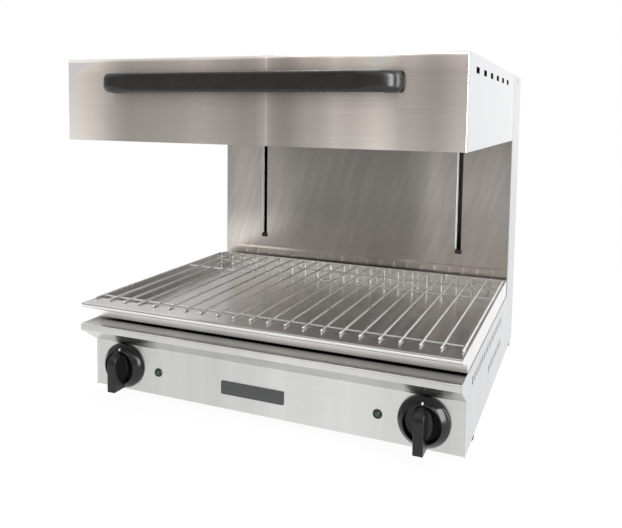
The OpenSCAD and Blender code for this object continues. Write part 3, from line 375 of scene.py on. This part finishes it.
def brushed_steel(name, tone, roughness=0.3, contrast=0.04, depth=GRAIN_DEPTH, streaks=0.05,
                  flank=None, bands=(), marks=(), gloss=None, louvred=False):
    """Stainless sheet brushed level: along X on faces to the front, back, top and
    below, and along Y on faces to the sides. Contrast and depth are the grain's, and
    streaks is the strength of the soft upright streaks, painted reflection streaks.
    Bands are painted reflections, upright bands of lift on standing faces. A flank is
    the tone of faces to the sides, a painted light tone. Each mark is a function that
    gives a factor for the tone at a spot, painted light and shade, and gloss is one
    that changes the roughness there."""
    material, tree, shader = new_material(name)
    place = object_place(tree)
    spot = spot_at(tree, place)
    side = calc(tree, "GREATER_THAN", size_of(tree, spot.facing_x), SIDE_FACING)
    grain_x = noise(tree, place, (GRAIN_LONG, GRAIN_FINE, GRAIN_FINE), detail=2.0)
    grain_y = noise(tree, place, (GRAIN_FINE, GRAIN_LONG, GRAIN_FINE), detail=2.0)
    grain = mix_numbers(tree, side, grain_x, grain_y)
    upright = noise(tree, place, STREAK_SCALE, roughness=0.6)
    lift = times(tree, vary(tree, upright, STREAK_SPAN, streaks), vary(tree, grain, GRAIN_SPAN, contrast))
    if bands:
        lift = times(tree, lift, painted_reflection_bands(tree, spot, bands))
    for mark in marks:
        lift = times(tree, lift, mark(tree, spot))
    grey = add_node(tree, "ShaderNodeCombineXYZ", {"X": lift, "Y": lift, "Z": lift})
    colour = vector_calc(tree, "MULTIPLY", tone, grey.outputs["Vector"]).outputs["Vector"]
    if flank:
        colour = mix_colours(tree, side, colour, opaque(flank))
    if louvred:
        # painted shade in and behind the louvre slots
        colour = mix_colours(tree, louvre_shade(tree, spot, side), colour, opaque(LOUVRE_PAINTED_SHADE))
    smear = noise(tree, place, SMEAR_SCALE)
    dull = swing(tree, smear, SMEAR_WIDTH, swing(tree, grain, 2 * contrast, roughness))
    if gloss:
        dull = gloss(tree, spot, dull)
    feed(tree, shader, Base_Color=colour, Metallic=1.0, Roughness=dull, Anisotropic=ANISOTROPY,
         Tangent=brushing_tangent(tree, side))
    if depth:
        feed(tree, shader, Normal=bump(tree, grain, depth))
    return material


# ---- Other metals ----

FINE_RATIO = 12          # the fine grain's scale, in times the mottle's
MOTTLE_WIDTH = 0.2       # how far the mottle swings the roughness


def plain_metal(name, tone, roughness=0.35, blotch=0.12, scale=60.0, depth=0.00005, metal=1.0):
    """Drawn, ground or rolled metal with a faint mottle."""
    material, tree, shader = new_material(name)
    place = object_place(tree)
    mottle = noise(tree, place, scale)
    fine = noise(tree, place, scale * FINE_RATIO, detail=2.0)
    colour = mix_colours(tree, mottle, shade(tone, 1 - blotch), shade(tone, 1 + blotch))
    feed(tree, shader, Base_Color=colour, Metallic=metal,
         Roughness=swing(tree, mottle, MOTTLE_WIDTH, roughness), Normal=bump(tree, fine, depth))
    return material


def turned_metal(name, tone, roughness=0.28, ring_width=0.18):
    """Metal turned on a lathe about an axis along X: fine rings."""
    material, tree, shader = new_material(name)
    rings = noise(tree, object_place(tree), scale=(2400.0, 30.0, 30.0), detail=2.0)
    colour = mix_colours(tree, rings, shade(tone, 0.85), shade(tone, 1.1))
    dull = calc(tree, "MULTIPLY_ADD", rings, ring_width, roughness - ring_width / 2)
    feed(tree, shader, Base_Color=colour, Metallic=1.0, Roughness=dull,
         Normal=bump(tree, rings, distance=0.00004))
    return material


def cast_iron(name, tone):
    """A sand-cast skin, with darker and lighter patches."""
    material, tree, shader = new_material(name)
    place = object_place(tree)
    sand = noise(tree, place, scale=700.0, detail=5.0)
    patch = noise(tree, place, scale=24.0)
    colour = mix_colours(tree, patch, shade(tone, 0.75), shade(tone, 1.4))
    feed(tree, shader, Base_Color=colour, Metallic=0.35, Roughness=mix_numbers(tree, sand, 0.5, 0.8),
         Normal=bump(tree, sand, distance=0.0004))
    return material


def element_sheath(name, tone, tint):
    """A heater tube's oxide skin, with a heat tint in patches."""
    material, tree, shader = new_material(name)
    place = object_place(tree)
    patch = ramp(tree, noise(tree, place, scale=14.0, detail=4.0), low=0.45, high=0.7)
    skin_noise = noise(tree, place, scale=900.0)
    colour = mix_colours(tree, patch, opaque(tone), opaque(tint))
    feed(tree, shader, Base_Color=colour, Metallic=0.75,
         Roughness=mix_numbers(tree, skin_noise, 0.38, 0.6),
         Normal=bump(tree, skin_noise, distance=0.00008))
    return material


def stranded_cable(name, tone):
    """Wire rope: light strands with dark lays between them."""
    material, tree, shader = new_material(name)
    inputs = {"Vector": object_place(tree), "Scale": 160.0, "Distortion": 0.3}
    wave = add_node(tree, "ShaderNodeTexWave", inputs,
                    wave_type="BANDS", bands_direction="DIAGONAL").outputs["Fac"]
    colour = mix_colours(tree, wave, shade(tone, 0.35), opaque(tone))
    feed(tree, shader, Base_Color=colour, Metallic=1.0, Roughness=mix_numbers(tree, wave, 0.55, 0.3),
         Normal=bump(tree, wave, distance=0.0003))
    return material


def anodised_plate(name, tone):
    """The bare plate: dark satin metal with a fine level grain."""
    material, tree, shader = new_material(name)
    grain = noise(tree, object_place(tree), scale=(8.0, 500.0, 900.0))
    colour = mix_colours(tree, grain, shade(tone, 0.8), shade(tone, 1.25))
    feed(tree, shader, Base_Color=colour, Metallic=0.55,
         Roughness=mix_numbers(tree, grain, 0.34, 0.46), Normal=bump(tree, grain, distance=0.00003))
    return material


# ---- Plastics, rubber and fibre ----

MARKS_SPAN = (0.3, 0.75)     # the part of the noise that shows as handling marks
CLEAN_SHARE = 0.8            # of a plastic's roughness, where it is clean,
DUSTY_SHARE = 1.35           # and where it is handled or dusty


def moulded_plastic(name, tone, roughness=0.2, grain=0.00002, gloss=0.5):
    """Plastic or enamel: a fine skin, faint dust and handling marks in its gloss."""
    material, tree, shader = new_material(name)
    place = object_place(tree)
    fine = noise(tree, place, scale=900.0, detail=2.0)
    marks = noise(tree, place, scale=45.0, detail=4.0)
    colour = mix_colours(tree, marks, shade(tone, 0.85), shade(tone, 1.25))
    dull = ramp(tree, marks, *MARKS_SPAN, roughness * CLEAN_SHARE, roughness * DUSTY_SHARE)
    feed(tree, shader, Base_Color=colour, Roughness=dull, Specular_IOR_Level=gloss,
         Normal=bump(tree, fine, grain))
    return material


def lens_plastic(name, tone):
    """Green lamp plastic with a moulded pattern behind its smooth front."""
    material, tree, shader = new_material(name)
    inputs = {"Vector": object_place(tree), "Scale": 700.0}
    cells = add_node(tree, "ShaderNodeTexVoronoi", inputs).outputs["Distance"]
    walls = ramp(tree, cells, low=0.1, high=0.7)
    colour = mix_colours(tree, walls, shade(tone, 1.8), shade(tone, 0.6))
    feed(tree, shader, Base_Color=colour, Roughness=0.12, Coat_Weight=0.6, Transmission_Weight=0.25,
         Normal=bump(tree, cells, distance=0.00015))
    return material


def rubber(name, tone):
    """Matt black, with patches of pale dust."""
    material, tree, shader = new_material(name)
    place = object_place(tree)
    fine = noise(tree, place, scale=1400.0)
    dust = ramp(tree, noise(tree, place, scale=90.0, detail=4.0), low=0.5, high=0.8)
    colour = mix_colours(tree, dust, opaque(tone), shade(tone, 2.2))
    feed(tree, shader, Base_Color=colour, Roughness=mix_numbers(tree, dust, 0.62, 0.8),
         Normal=bump(tree, fine, distance=0.00012))
    return material


def blanket_fibre(name, tone, lump_height=2.0):
    """Ceramic wool: strands over soft lumps, which are higher by the number given."""
    material, tree, shader = new_material(name)
    place = object_place(tree)
    strands = noise(tree, place, scale=(900.0, 120.0, 500.0), detail=6.0, roughness=0.7)
    lumps = noise(tree, place, scale=35.0, detail=2.0)
    colour = mix_colours(tree, strands, shade(tone, 0.7), shade(tone, 1.12))
    height = calc(tree, "MULTIPLY_ADD", lumps, lump_height, strands)
    feed(tree, shader, Base_Color=colour, Roughness=0.95, Normal=bump(tree, height, distance=0.0012))
    return material


# ---- Finishes of the nodes ----

# The hood, fascia, sides, column and tray are one stainless steel. Their tones differ as lit and shaded
# copies of it, painted light and shade, and the hood's flank tone is painted light on its sides.
MATERIALS = {
    "hood": brushed_steel("hood_steel", (0.44, 0.409, 0.384), roughness=0.24,
                          flank=(0.57, 0.574, 0.588), bands=HOOD_PAINTED_REFLECTIONS,
                          marks=(painted_handle_shadow, painted_top_light)),
    "fascia": brushed_steel("fascia_steel", (0.625, 0.625, 0.615), roughness=0.30, contrast=0.02,
                            depth=0.0, bands=FASCIA_PAINTED_REFLECTIONS, marks=(painted_ledge_shade,), gloss=ledge_gloss),
    "side": brushed_steel("side_steel", (0.60, 0.606, 0.618), roughness=0.34, contrast=0.035,
                          streaks=0.035, louvred=True),
    "column": brushed_steel("column_steel", (0.255, 0.239, 0.224), roughness=0.22, depth=0.0,
                            streaks=0.06, bands=COLUMN_PAINTED_REFLECTIONS, marks=(painted_slant_streaks, painted_foot_reflection)),
    "tray": brushed_steel("tray_steel", (0.77, 0.76, 0.75), roughness=0.24, contrast=0.01,
                          depth=0.0, streaks=0.03, marks=(painted_shade_on_bends, painted_lip_highlight)),
    "stainless": brushed_steel("stainless", (0.66, 0.645, 0.62)),
    "plain_steel": plain_metal("plain_steel", (0.52, 0.52, 0.51), roughness=0.4),
    "rubber_black": rubber("rubber_black", (0.018, 0.018, 0.019)),
    "screw_steel": plain_metal("screw_steel", (0.62, 0.61, 0.6), roughness=0.28),
    "chromed_wire": plain_metal("chromed_wire", (0.70, 0.695, 0.685), roughness=0.30, blotch=0.05,
                                scale=25.0, metal=0.85),
    "bright_reflector": plain_metal("bright_reflector", (0.80, 0.79, 0.77), roughness=0.2,
                                    scale=12.0, depth=0.0001),
    "blanket": blanket_fibre("blanket", (0.74, 0.70, 0.60)),
    "element_sheath": element_sheath("element_sheath", (0.16, 0.13, 0.11), tint=(0.26, 0.17, 0.12)),
    "handle_plastic": moulded_plastic("handle_plastic", (0.008, 0.0074, 0.0074), roughness=0.27),
    "knob_plastic": moulded_plastic("knob_plastic", (0.008, 0.008, 0.0088), roughness=0.17, gloss=0.38),
    "black_steel": moulded_plastic("black_steel", (0.028, 0.028, 0.03), roughness=0.42, grain=0.00006),
    "bush_bronze": plain_metal("bush_bronze", (0.66, 0.43, 0.19), roughness=0.32),
    "ground_rod": plain_metal("ground_rod", (0.74, 0.73, 0.72), roughness=0.16, blotch=0.05, scale=30.0),
    "pulley_alloy": turned_metal("pulley_alloy", (0.66, 0.66, 0.65)),
    "cast_weight": cast_iron("cast_weight", (0.075, 0.075, 0.08)),
    "cable_steel": stranded_cable("cable_steel", (0.55, 0.55, 0.54)),
    "regulator_body": moulded_plastic("regulator_body", (0.70, 0.67, 0.60), roughness=0.5, grain=0.00006),
    "lamp_black": moulded_plastic("lamp_black", (0.014, 0.014, 0.015), roughness=0.3),
    "lens_green": lens_plastic("lens_green", (0.006, 0.060, 0.034)),
    "plate_dark": anodised_plate("plate_dark", (0.080, 0.082, 0.084)),
    # pale strips that paint the highlight on the slots' left edges
    "highlight_strip_white": moulded_plastic("highlight_strip_white", (0.78, 0.78, 0.77), roughness=0.45),
    "index_white": moulded_plastic("index_white", (0.80, 0.80, 0.78), roughness=0.4),
}
OWN_STEEL = {
    "hood_shell": "hood", "hood_back": "hood", "front_panel": "fascia",
    "side_panel_left": "side", "side_panel_right": "side",
    "column_front": "column", "drip_tray": "tray",
}


def dress_nodes():
    """Gives each CAD node its finish: its own copy of the steel, toned as painted light and shade, or
    that of its slot in the record.
    """
    for name, node in NODES.items():
        finish = OWN_STEEL.get(name) or node.data.materials[0].name.split(".")[0]
        node.data.materials.clear()
        node.data.materials.append(MATERIALS[finish])


dress_nodes()

# ---- Mesh helpers ----


def piece(name, mesh, finish, body):
    """A new piece of the object, from a bmesh in the CAD frame."""
    data = bpy.data.meshes.new(name)
    mesh.to_mesh(data)
    mesh.free()
    data.materials.append(MATERIALS[finish])
    made = bpy.data.objects.new(name, data)
    bpy.context.scene.collection.objects.link(made)
    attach(made, body)
    return made


def skin(bm, rings, closed=True):
    """Faces between rings of as many points each."""
    rows = [[bm.verts.new(point) for point in ring] for ring in rings]
    for near, far in zip(rows, rows[1:]):
        for i in range(len(near) if closed else len(near) - 1):
            j = (i + 1) % len(near)
            bm.faces.new((near[i], near[j], far[j], far[i]))
    return rows


def finish_skin(bm):
    """Turns the faces outward and makes all but the end caps smooth."""
    bmesh.ops.recalc_face_normals(bm, faces=bm.faces[:])
    for face in bm.faces:
        face.smooth = len(face.verts) == 4


def soften(bm, edges, radius):
    bmesh.ops.bevel(bm, geom=edges, offset=radius, segments=2, affect="EDGES", profile=0.5)


def add_block(bm, low, high, radius):
    """A box between two corners, with softened edges."""
    middle = (Vector(low) + Vector(high)) / 2
    size = Vector(high) - Vector(low)
    shape = Matrix.Translation(middle) @ Matrix.Diagonal((*size, 1.0))
    made = bmesh.ops.create_cube(bm, size=1.0, matrix=shape)
    soften(bm, list({edge for vert in made["verts"] for edge in vert.link_edges}), radius)


# ---- Rack: a weld at each crossing of two wires ----

WIRE_D = 3.5 * MM
WIRE_COUNT = 22
CROSS_FRONT = 25.5 * MM      # from the wires' front ends to the front cross wire
CROSS_MID = 278.5 * MM       # and to the middle one
WELD_D = 3.6 * MM
WELD_STRETCH = (1.15, 1.25, 0.75, 1.0)
WELD_RAISE = 0.3 * MM        # over the height where the wires touch


def add_rack_welds():
    low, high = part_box("wire_rack")
    wire_r = WIRE_D / 2
    first = low.x + wire_r
    pitch = (high.x - low.x - WIRE_D) / (WIRE_COUNT - 1)
    height = high.z - WIRE_D + WELD_RAISE
    welds = bmesh.new()
    for i in range(WIRE_COUNT):
        for back in (CROSS_FRONT, CROSS_MID):
            spot = Vector((first + i * pitch, low.y + wire_r + back, height))
            shape = Matrix.Translation(spot) @ Matrix.Diagonal(WELD_STRETCH)
            bmesh.ops.create_icosphere(welds, subdivisions=2, radius=WELD_D / 2, matrix=shape)
    for face in welds.faces:
        face.smooth = True
    piece("rack_welds", welds, "chromed_wire", "rack")


add_rack_welds()

# ---- Knobs: a skirt with a finger recess, a pointed pedestal, a grip and an index ----

KNOB_R = 36.0 * MM
SKIRT = (                # radius and height above the knob's back, in mm, from the rim inward
    (35.4, 0.0), (36.0, 0.6), (36.0, 2.8), (35.8, 3.6), (34.9, 5.2), (33.7, 6.8), (32.4, 8.4),
    (31.0, 9.9), (29.6, 11.3), (28.2, 12.6), (27.3, 13.4), (26.6, 13.7), (26.1, 13.5), (25.9, 12.9),
    (25.6, 5.4), (25.2, 4.6), (24.4, 4.2), (0.01, 4.0),
)
KNOB_STEPS = 96
LENS_HALF_L = 27.0 * MM      # of the pedestal
LENS_HALF_W = 14.0 * MM
PEDESTAL_H = 11.0 * MM
GRIP_LOW = -33.0 * MM        # the grip's blunt end
GRIP_HALF_W = 7.0 * MM
GRIP_H = 34.0 * MM
GRIP_ROUND = 19.0 * MM       # of its upper end, seen from the side
GRIP_SOFT = 1.3 * MM         # radius of its edges
THIN = 0.05 * MM             # half the width of the pedestal and the grip at their points
STATIONS = 48
CORNER_STEPS = 4
INDEX_W = 2.6 * MM
INDEX_L = 3.8 * MM
INDEX_T = 0.7 * MM
INDEX_SOFT = 0.2 * MM
INDEX_FROM_EDGE = 7.0 * MM
INDEX_TILT = math.radians(-43)   # of the skirt, at the index
INDEX_H = 12.0 * MM              # and its height above the knob's back


def from_hub(hub, across, up, height):
    """The point across and up from a knob's axis, at a height above its back."""
    return hub + Vector((across, -height, up))


def lens_half(along):
    """Half the pedestal's width at a distance from its middle."""
    radius = (LENS_HALF_L ** 2 + LENS_HALF_W ** 2) / (2 * LENS_HALF_W)
    return max(0.0, math.sqrt(max(0.0, radius ** 2 - along ** 2)) - (radius - LENS_HALF_W))


def grip_top(along):
    """The grip's height at a distance above its middle: round at the upper end."""
    past = along - (LENS_HALF_L - GRIP_ROUND)
    if past <= 0:
        return GRIP_H
    return GRIP_H - GRIP_ROUND + math.sqrt(max(0.0, GRIP_ROUND ** 2 - past ** 2))


def soft_section(half, top, soft):
    """An upright section with rounded top corners: points (across, height)."""
    soft = min(soft, half, top)
    left = []
    for i in range(CORNER_STEPS + 1):
        turn = QUARTER * i / CORNER_STEPS
        left.append((-half + soft - soft * math.cos(turn), top - soft + soft * math.sin(turn)))
    right = [(-across, height) for across, height in reversed(left)]
    return [(-half, 0.0)] + left + right + [(half, 0.0)]


def skirt_rings(hub):
    turns = [2 * math.pi * i / KNOB_STEPS for i in range(KNOB_STEPS)]
    rings = []
    for radius, height in SKIRT:
        r = radius * MM
        rings.append([from_hub(hub, r * math.cos(turn), r * math.sin(turn), height * MM)
                      for turn in turns])
    return rings


def pedestal_rings(hub):
    rings = []
    for i in range(STATIONS + 1):
        along = LENS_HALF_L * math.cos(math.pi * i / STATIONS)
        section = soft_section(max(lens_half(along), THIN), PEDESTAL_H, GRIP_SOFT / 2)
        rings.append([from_hub(hub, across, along, height) for across, height in section])
    return rings


def grip_rings(hub):
    rings = []
    for i in range(STATIONS + 1):
        along = GRIP_LOW + (LENS_HALF_L - GRIP_LOW) * i / STATIONS
        half = GRIP_HALF_W
        if along >= 0:
            half = max(min(half, lens_half(along)), THIN)
        section = soft_section(half, grip_top(along), GRIP_SOFT)
        rings.append([from_hub(hub, across, along, height) for across, height in section])
    return rings


def add_knob_index(side, body, hub):
    """The white mark on the skirt, at the knob's pointed end."""
    mark = bmesh.new()
    shape = Matrix.Translation(from_hub(hub, 0.0, KNOB_R - INDEX_FROM_EDGE, INDEX_H))
    shape = shape @ Matrix.Rotation(INDEX_TILT, 4, "X")
    shape = shape @ Matrix.Diagonal((INDEX_W, INDEX_T, INDEX_L, 1.0))
    bmesh.ops.create_cube(mark, size=1.0, matrix=shape)
    soften(mark, mark.edges[:], INDEX_SOFT)
    piece("knob_index_" + side, mark, "index_white", body)


def add_knob(side):
    body = "knob_" + side
    low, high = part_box(body)
    hub = Vector(((low.x + high.x) / 2, high.y, (low.z + high.z) / 2))
    knob = bmesh.new()
    skin(knob, skirt_rings(hub))
    skin(knob, pedestal_rings(hub), closed=False)
    grip = skin(knob, grip_rings(hub), closed=False)
    knob.faces.new(grip[0])
    finish_skin(knob)
    made = piece("knob_shape_" + side, knob, "knob_plastic", body)
    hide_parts(body)
    add_knob_index(side, body, hub)


for SIDE in ("left", "right"):
    add_knob(SIDE)

# ---- Handle: a moulded bow, rounder at its ends than along its grip ----

HANDLE_T = 12.0 * MM
HANDLE_FOOT_L = 26.0 * MM
HANDLE_FOOT_T = 3.0 * MM
GRIP_EDGE = (4.0 * MM, 4.0 * MM)     # radii across and up of the section's corners, on the grip,
END_EDGE = (5.8 * MM, 9.5 * MM)      # and on the round ends
EDGE_FADE = 24.0 * MM                # from the one to the other
BEND_STEPS = 18
GRIP_STEPS = 60
EDGE_STEPS = 6
CORNERS = ((1, 1), (-1, 1), (-1, -1), (1, -1))


def oval_cornered(half_across, half_up, edge):
    """A section's points (across, up), all the way round."""
    points = []
    for quarter, (way_a, way_u) in enumerate(CORNERS):
        for i in range(EDGE_STEPS + 1):
            turn = QUARTER * (quarter + i / EDGE_STEPS)
            points.append((way_a * (half_across - edge[0]) + edge[0] * math.cos(turn),
                           way_u * (half_up - edge[1]) + edge[1] * math.sin(turn)))
    return points


def bow_end(side, straight, middle_y, middle_r):
    """Stations round one end of the bow: a point, the way out, and 1 for a round end."""
    start = math.pi if side < 0 else 3 * QUARTER
    hub = Vector((side * straight, middle_y + middle_r, 0.0))
    stations = []
    for i in range(BEND_STEPS + 1):
        turn = start + QUARTER * i / BEND_STEPS
        out = Vector((math.cos(turn), math.sin(turn), 0.0))
        stations.append((hub + middle_r * out, out, 1.0))
    return stations


def bow_grip(straight, middle_y):
    """Stations along the bow's grip, with a share of the round end's section."""
    out = Vector((0.0, -1.0, 0.0))
    stations = []
    for i in range(1, GRIP_STEPS):
        x = -straight + 2 * straight * i / GRIP_STEPS
        share = max(0.0, 1 - (straight - abs(x)) / EDGE_FADE)
        stations.append((Vector((x, middle_y, 0.0)), out, share))
    return stations


def add_handle_foot(bow, x, high_y, level, half_h):
    foot = [[Vector((x + across, y, level + up))
             for across, up in oval_cornered(HANDLE_FOOT_L / 2, half_h, GRIP_EDGE)]
            for y in (high_y - HANDLE_FOOT_T, high_y)]
    for cap in skin(bow, foot):
        bow.faces.new(cap)


def add_handle():
    low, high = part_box("handle")
    level = (low.z + high.z) / 2
    half_h = (high.z - low.z) / 2
    middle_y = low.y + HANDLE_T / 2
    middle_r = high.y - HANDLE_FOOT_T - middle_y
    straight = high.x - HANDLE_T / 2 - middle_r
    stations = (bow_end(-1, straight, middle_y, middle_r) + bow_grip(straight, middle_y)
                + bow_end(1, straight, middle_y, middle_r))
    bow = bmesh.new()
    rings = []
    for spot, out, share in stations:
        edge = [grip + (end - grip) * share for grip, end in zip(GRIP_EDGE, END_EDGE)]
        rings.append([spot + across * out + Vector((0.0, 0.0, level + up))
                      for across, up in oval_cornered(HANDLE_T / 2, half_h, edge)])
    skin(bow, rings)
    for side in (-1, 1):
        add_handle_foot(bow, side * (high.x - HANDLE_FOOT_L / 2), high.y, level, half_h)
    finish_skin(bow)
    made = piece("handle_shape", bow, "handle_plastic", "hood")
    made.modifiers.new("soft", "WEIGHTED_NORMAL").keep_sharp = True
    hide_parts("handle")


add_handle()

# ---- Lift: the rear run of each cable, a twisted rope of one length; on the lift it shortens as its weight rises ----

STRANDS = 6
STRAND_LAY = 24.0 * MM       # along which a strand turns once
STRAND_SHARE = 0.1           # how far the strands stand out of the rope
ROPE_STEP = 2.4 * MM
ROPE_POINTS = 24


def rope_ring(middle, radius, z):
    """The rope's section at a height: strands that twist round its middle."""
    ring = []
    for i in range(ROPE_POINTS):
        turn = 2 * math.pi * i / ROPE_POINTS
        lobe = abs(math.sin(STRANDS / 2 * (turn - 2 * math.pi * z / STRAND_LAY)))
        r = radius * (1 - STRAND_SHARE + STRAND_SHARE * lobe)
        ring.append((middle.x + r * math.cos(turn), middle.y + r * math.sin(turn), z))
    return ring


def add_weight_cable(side):
    name = "weight_cable_" + side
    low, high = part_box(name)
    middle = (low + high) / 2
    radius = (high.x - low.x) / 2
    length = high.z - low.z
    steps = round(length / ROPE_STEP)
    rope = bmesh.new()
    rows = skin(rope, [rope_ring(middle, radius, low.z + length * i / steps) for i in range(steps + 1)])
    for end in (rows[0], rows[-1]):
        rope.faces.new(end)
    finish_skin(rope)
    made = piece("weight_rope_" + side, rope, "cable_steel", "stand")
    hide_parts(name)
    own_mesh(made)


for SIDE in ("left", "right"):
    add_weight_cable(SIDE)

# ---- Column: a pale strip on the left edge of each slot, a painted highlight ----

SLOT_X = 207.0 * MM
SLOT_HALF = 4.75 * MM
COLUMN_Y = 195.25 * MM
STRIP_LOW = 203.0 * MM
STRIP_HIGH = 478.0 * MM
STRIP_T = 0.7 * MM
STRIP_OVER = 1.9 * MM        # how far it laps onto the panel's front
STRIP_DEPTH = 5.0 * MM
STRIP_SOFT = 0.2 * MM


def add_slot_highlight_strips():
    """A painted highlight: each strip is a lip on the panel's front and a leg into the slot."""
    strips = bmesh.new()
    front = COLUMN_Y - STRIP_T
    for side in (-1, 1):
        edge = side * SLOT_X - SLOT_HALF
        add_block(strips, (edge - STRIP_OVER, front, STRIP_LOW),
                  (edge + STRIP_T, COLUMN_Y, STRIP_HIGH), STRIP_SOFT)
        add_block(strips, (edge, front, STRIP_LOW),
                  (edge + STRIP_T, front + STRIP_DEPTH, STRIP_HIGH), STRIP_SOFT)
    piece("slot_highlight_strips", strips, "highlight_strip_white", "stand")


add_slot_highlight_strips()

# ---- Screws: a black cross in each pan head of the back cover, painted shade for its recess ----

BACK_Y = 307.25 * MM
SCREW_HEAD_H = 2.2 * MM
SCREW_X = 289.8 * MM
SCREW_HEIGHTS = (34.0 * MM, 152.0 * MM, 327.4 * MM, 508.8 * MM)
CROSS_L = 4.2 * MM
CROSS_W = 1.0 * MM
CROSS_IN = 0.3 * MM          # how deep it reaches into the head,
CROSS_PROUD = 0.02 * MM      # and how far it stands out, so that it shows
CROSS_SOFT = 0.1 * MM


def add_screw_crosses():
    crosses = bmesh.new()
    top = BACK_Y + SCREW_HEAD_H
    for x in (-SCREW_X, SCREW_X):
        for z in SCREW_HEIGHTS:
            for half_x, half_z in ((CROSS_L / 2, CROSS_W / 2), (CROSS_W / 2, CROSS_L / 2)):
                add_block(crosses, (x - half_x, top - CROSS_IN, z - half_z),
                          (x + half_x, top + CROSS_PROUD, z + half_z), CROSS_SOFT)
    # The black crosses are painted shade in the recesses.
    piece("screw_crosses", crosses, "lamp_black", "stand")


add_screw_crosses()

# ---- Studio ----

FLOOR_HALF = 6.0
FLOOR_CELLS = 8
FLOOR_TONE = (0.9, 0.9, 0.9, 1.0)
FLOOR_ROUGHNESS = 0.7
FLOOR_NEAR = 0.8         # the floor shows shadows this far from the middle,
FLOOR_FAR = 1.7          # and is plain white beyond here
FLOOR_GLOW = 0.93        # how white it is by itself in their reach


def add_floor():
    bm = bmesh.new()
    bmesh.ops.create_grid(bm, x_segments=FLOOR_CELLS, y_segments=FLOOR_CELLS, size=FLOOR_HALF)
    data = bpy.data.meshes.new("floor")
    bm.to_mesh(data)
    bm.free()
    floor = bpy.data.objects.new("floor", data)
    bpy.context.scene.collection.objects.link(floor)
    material, tree, shader = new_material("floor_white")
    feed(tree, shader, Base_Color=FLOOR_TONE, Roughness=FLOOR_ROUGHNESS)
    reach = vector_calc(tree, "LENGTH", object_place(tree)).outputs["Value"]
    glow = add_node(tree, "ShaderNodeEmission", {"Color": WHITE, "Strength": 1.0})
    share = ramp(tree, reach, FLOOR_NEAR, FLOOR_FAR, FLOOR_GLOW, 1.0)
    blend = add_node(tree, "ShaderNodeMixShader", {0: share, 1: shader.outputs[0], 2: glow.outputs[0]})
    tree.links.new(blend.outputs[0], tree.nodes["Material Output"].inputs["Surface"])
    data.materials.append(material)


HORIZON = 0.42           # light from level with the object
CEILING = 0.80           # how much more comes from above,
CEILING_SPAN = (0.05, 0.85)      # by the Z of the way to it
BACK_RIGHT = Vector((0.62, 0.78, 0.05)).normalized()
BACK_RIGHT_LIGHT = 0.95  # how much more comes from behind to the right,
BACK_RIGHT_SPAN = (0.6, 0.97)    # by the cosine of the angle to it
FRONT_WARM = (1.0, 0.955, 0.91)  # colour of the light from the front,
FRONT_SPAN = (-0.2, -0.9)        # by the Y of the way to it
BAND_DEPTH = 1.1         # of the soft upright bands in the studio's walls
BAND_SCALE = 8.0
BAND_FLATTEN = 0.06      # how much the height counts in them


def build_world():
    """A soft white studio, brighter overhead and behind to the right, with soft
    upright bands in its walls that the brushed steel mirrors as streaks."""
    world = bpy.data.worlds.new("studio")
    bpy.context.scene.world = world
    world.use_nodes = True
    tree = world.node_tree
    tree.nodes.clear()
    way = add_node(tree, "ShaderNodeTexCoord").outputs["Generated"]
    parts = split(tree, way)
    flat = vector_calc(tree, "MULTIPLY", way, (1.0, 1.0, BAND_FLATTEN)).outputs["Vector"]
    heading = vector_calc(tree, "NORMALIZE", flat).outputs["Vector"]
    bands = swing(tree, noise(tree, heading, BAND_SCALE, detail=2.0), BAND_DEPTH, HORIZON)
    above = ramp(tree, parts["Z"], *CEILING_SPAN, 0.0, CEILING)
    nearness = vector_calc(tree, "DOT_PRODUCT", way, tuple(BACK_RIGHT)).outputs["Value"]
    behind = ramp(tree, nearness, *BACK_RIGHT_SPAN, 0.0, BACK_RIGHT_LIGHT)
    light = calc(tree, "ADD", calc(tree, "ADD", bands, above), behind)
    colour = mix_colours(tree, ramp(tree, parts["Y"], *FRONT_SPAN), WHITE, opaque(FRONT_WARM))
    studio = add_node(tree, "ShaderNodeBackground", {"Color": colour, "Strength": light})
    plain = add_node(tree, "ShaderNodeBackground", {"Color": WHITE, "Strength": 1.0})
    seen = add_node(tree, "ShaderNodeLightPath").outputs["Is Camera Ray"]
    both = add_node(tree, "ShaderNodeMixShader", {0: seen, 1: studio.outputs[0], 2: plain.outputs[0]})
    out = add_node(tree, "ShaderNodeOutputWorld")
    tree.links.new(both.outputs[0], out.inputs["Surface"])


SOFTBOXES = (            # name, place, the point it faces, width and height, watts
    ("window", (2.3, -1.0, 0.85), (0.2, -0.2, 0.2), (0.9, 1.9), 62.0),
    ("key", (1.5, -1.3, 1.5), (0.0, 0.0, 0.2), (0.9, 0.9), 5.0),
    ("overhead", (-0.3, -0.5, 2.1), (-0.2, 0.0, 0.3), (0.9, 0.3), 3.0),
    ("rear_ceiling", (-0.5, 1.1, 2.1), (0.0, 0.0, 0.5), (0.7, 0.4), 12.0),
)


def add_softbox(name, place, target, size, watts):
    data = bpy.data.lights.new(name, "AREA")
    data.shape = "RECTANGLE"
    data.size, data.size_y = size
    data.energy = watts
    lamp = bpy.data.objects.new(name, data)
    bpy.context.scene.collection.objects.link(lamp)
    lamp.location = place
    lamp.rotation_euler = (Vector(target) - Vector(place)).to_track_quat("-Z", "Y").to_euler()
    lamp.visible_camera = False


add_floor()
build_world()
for SOFTBOX in SOFTBOXES:
    add_softbox(*SOFTBOX)
bpy.context.scene.view_settings.view_transform = "Standard"
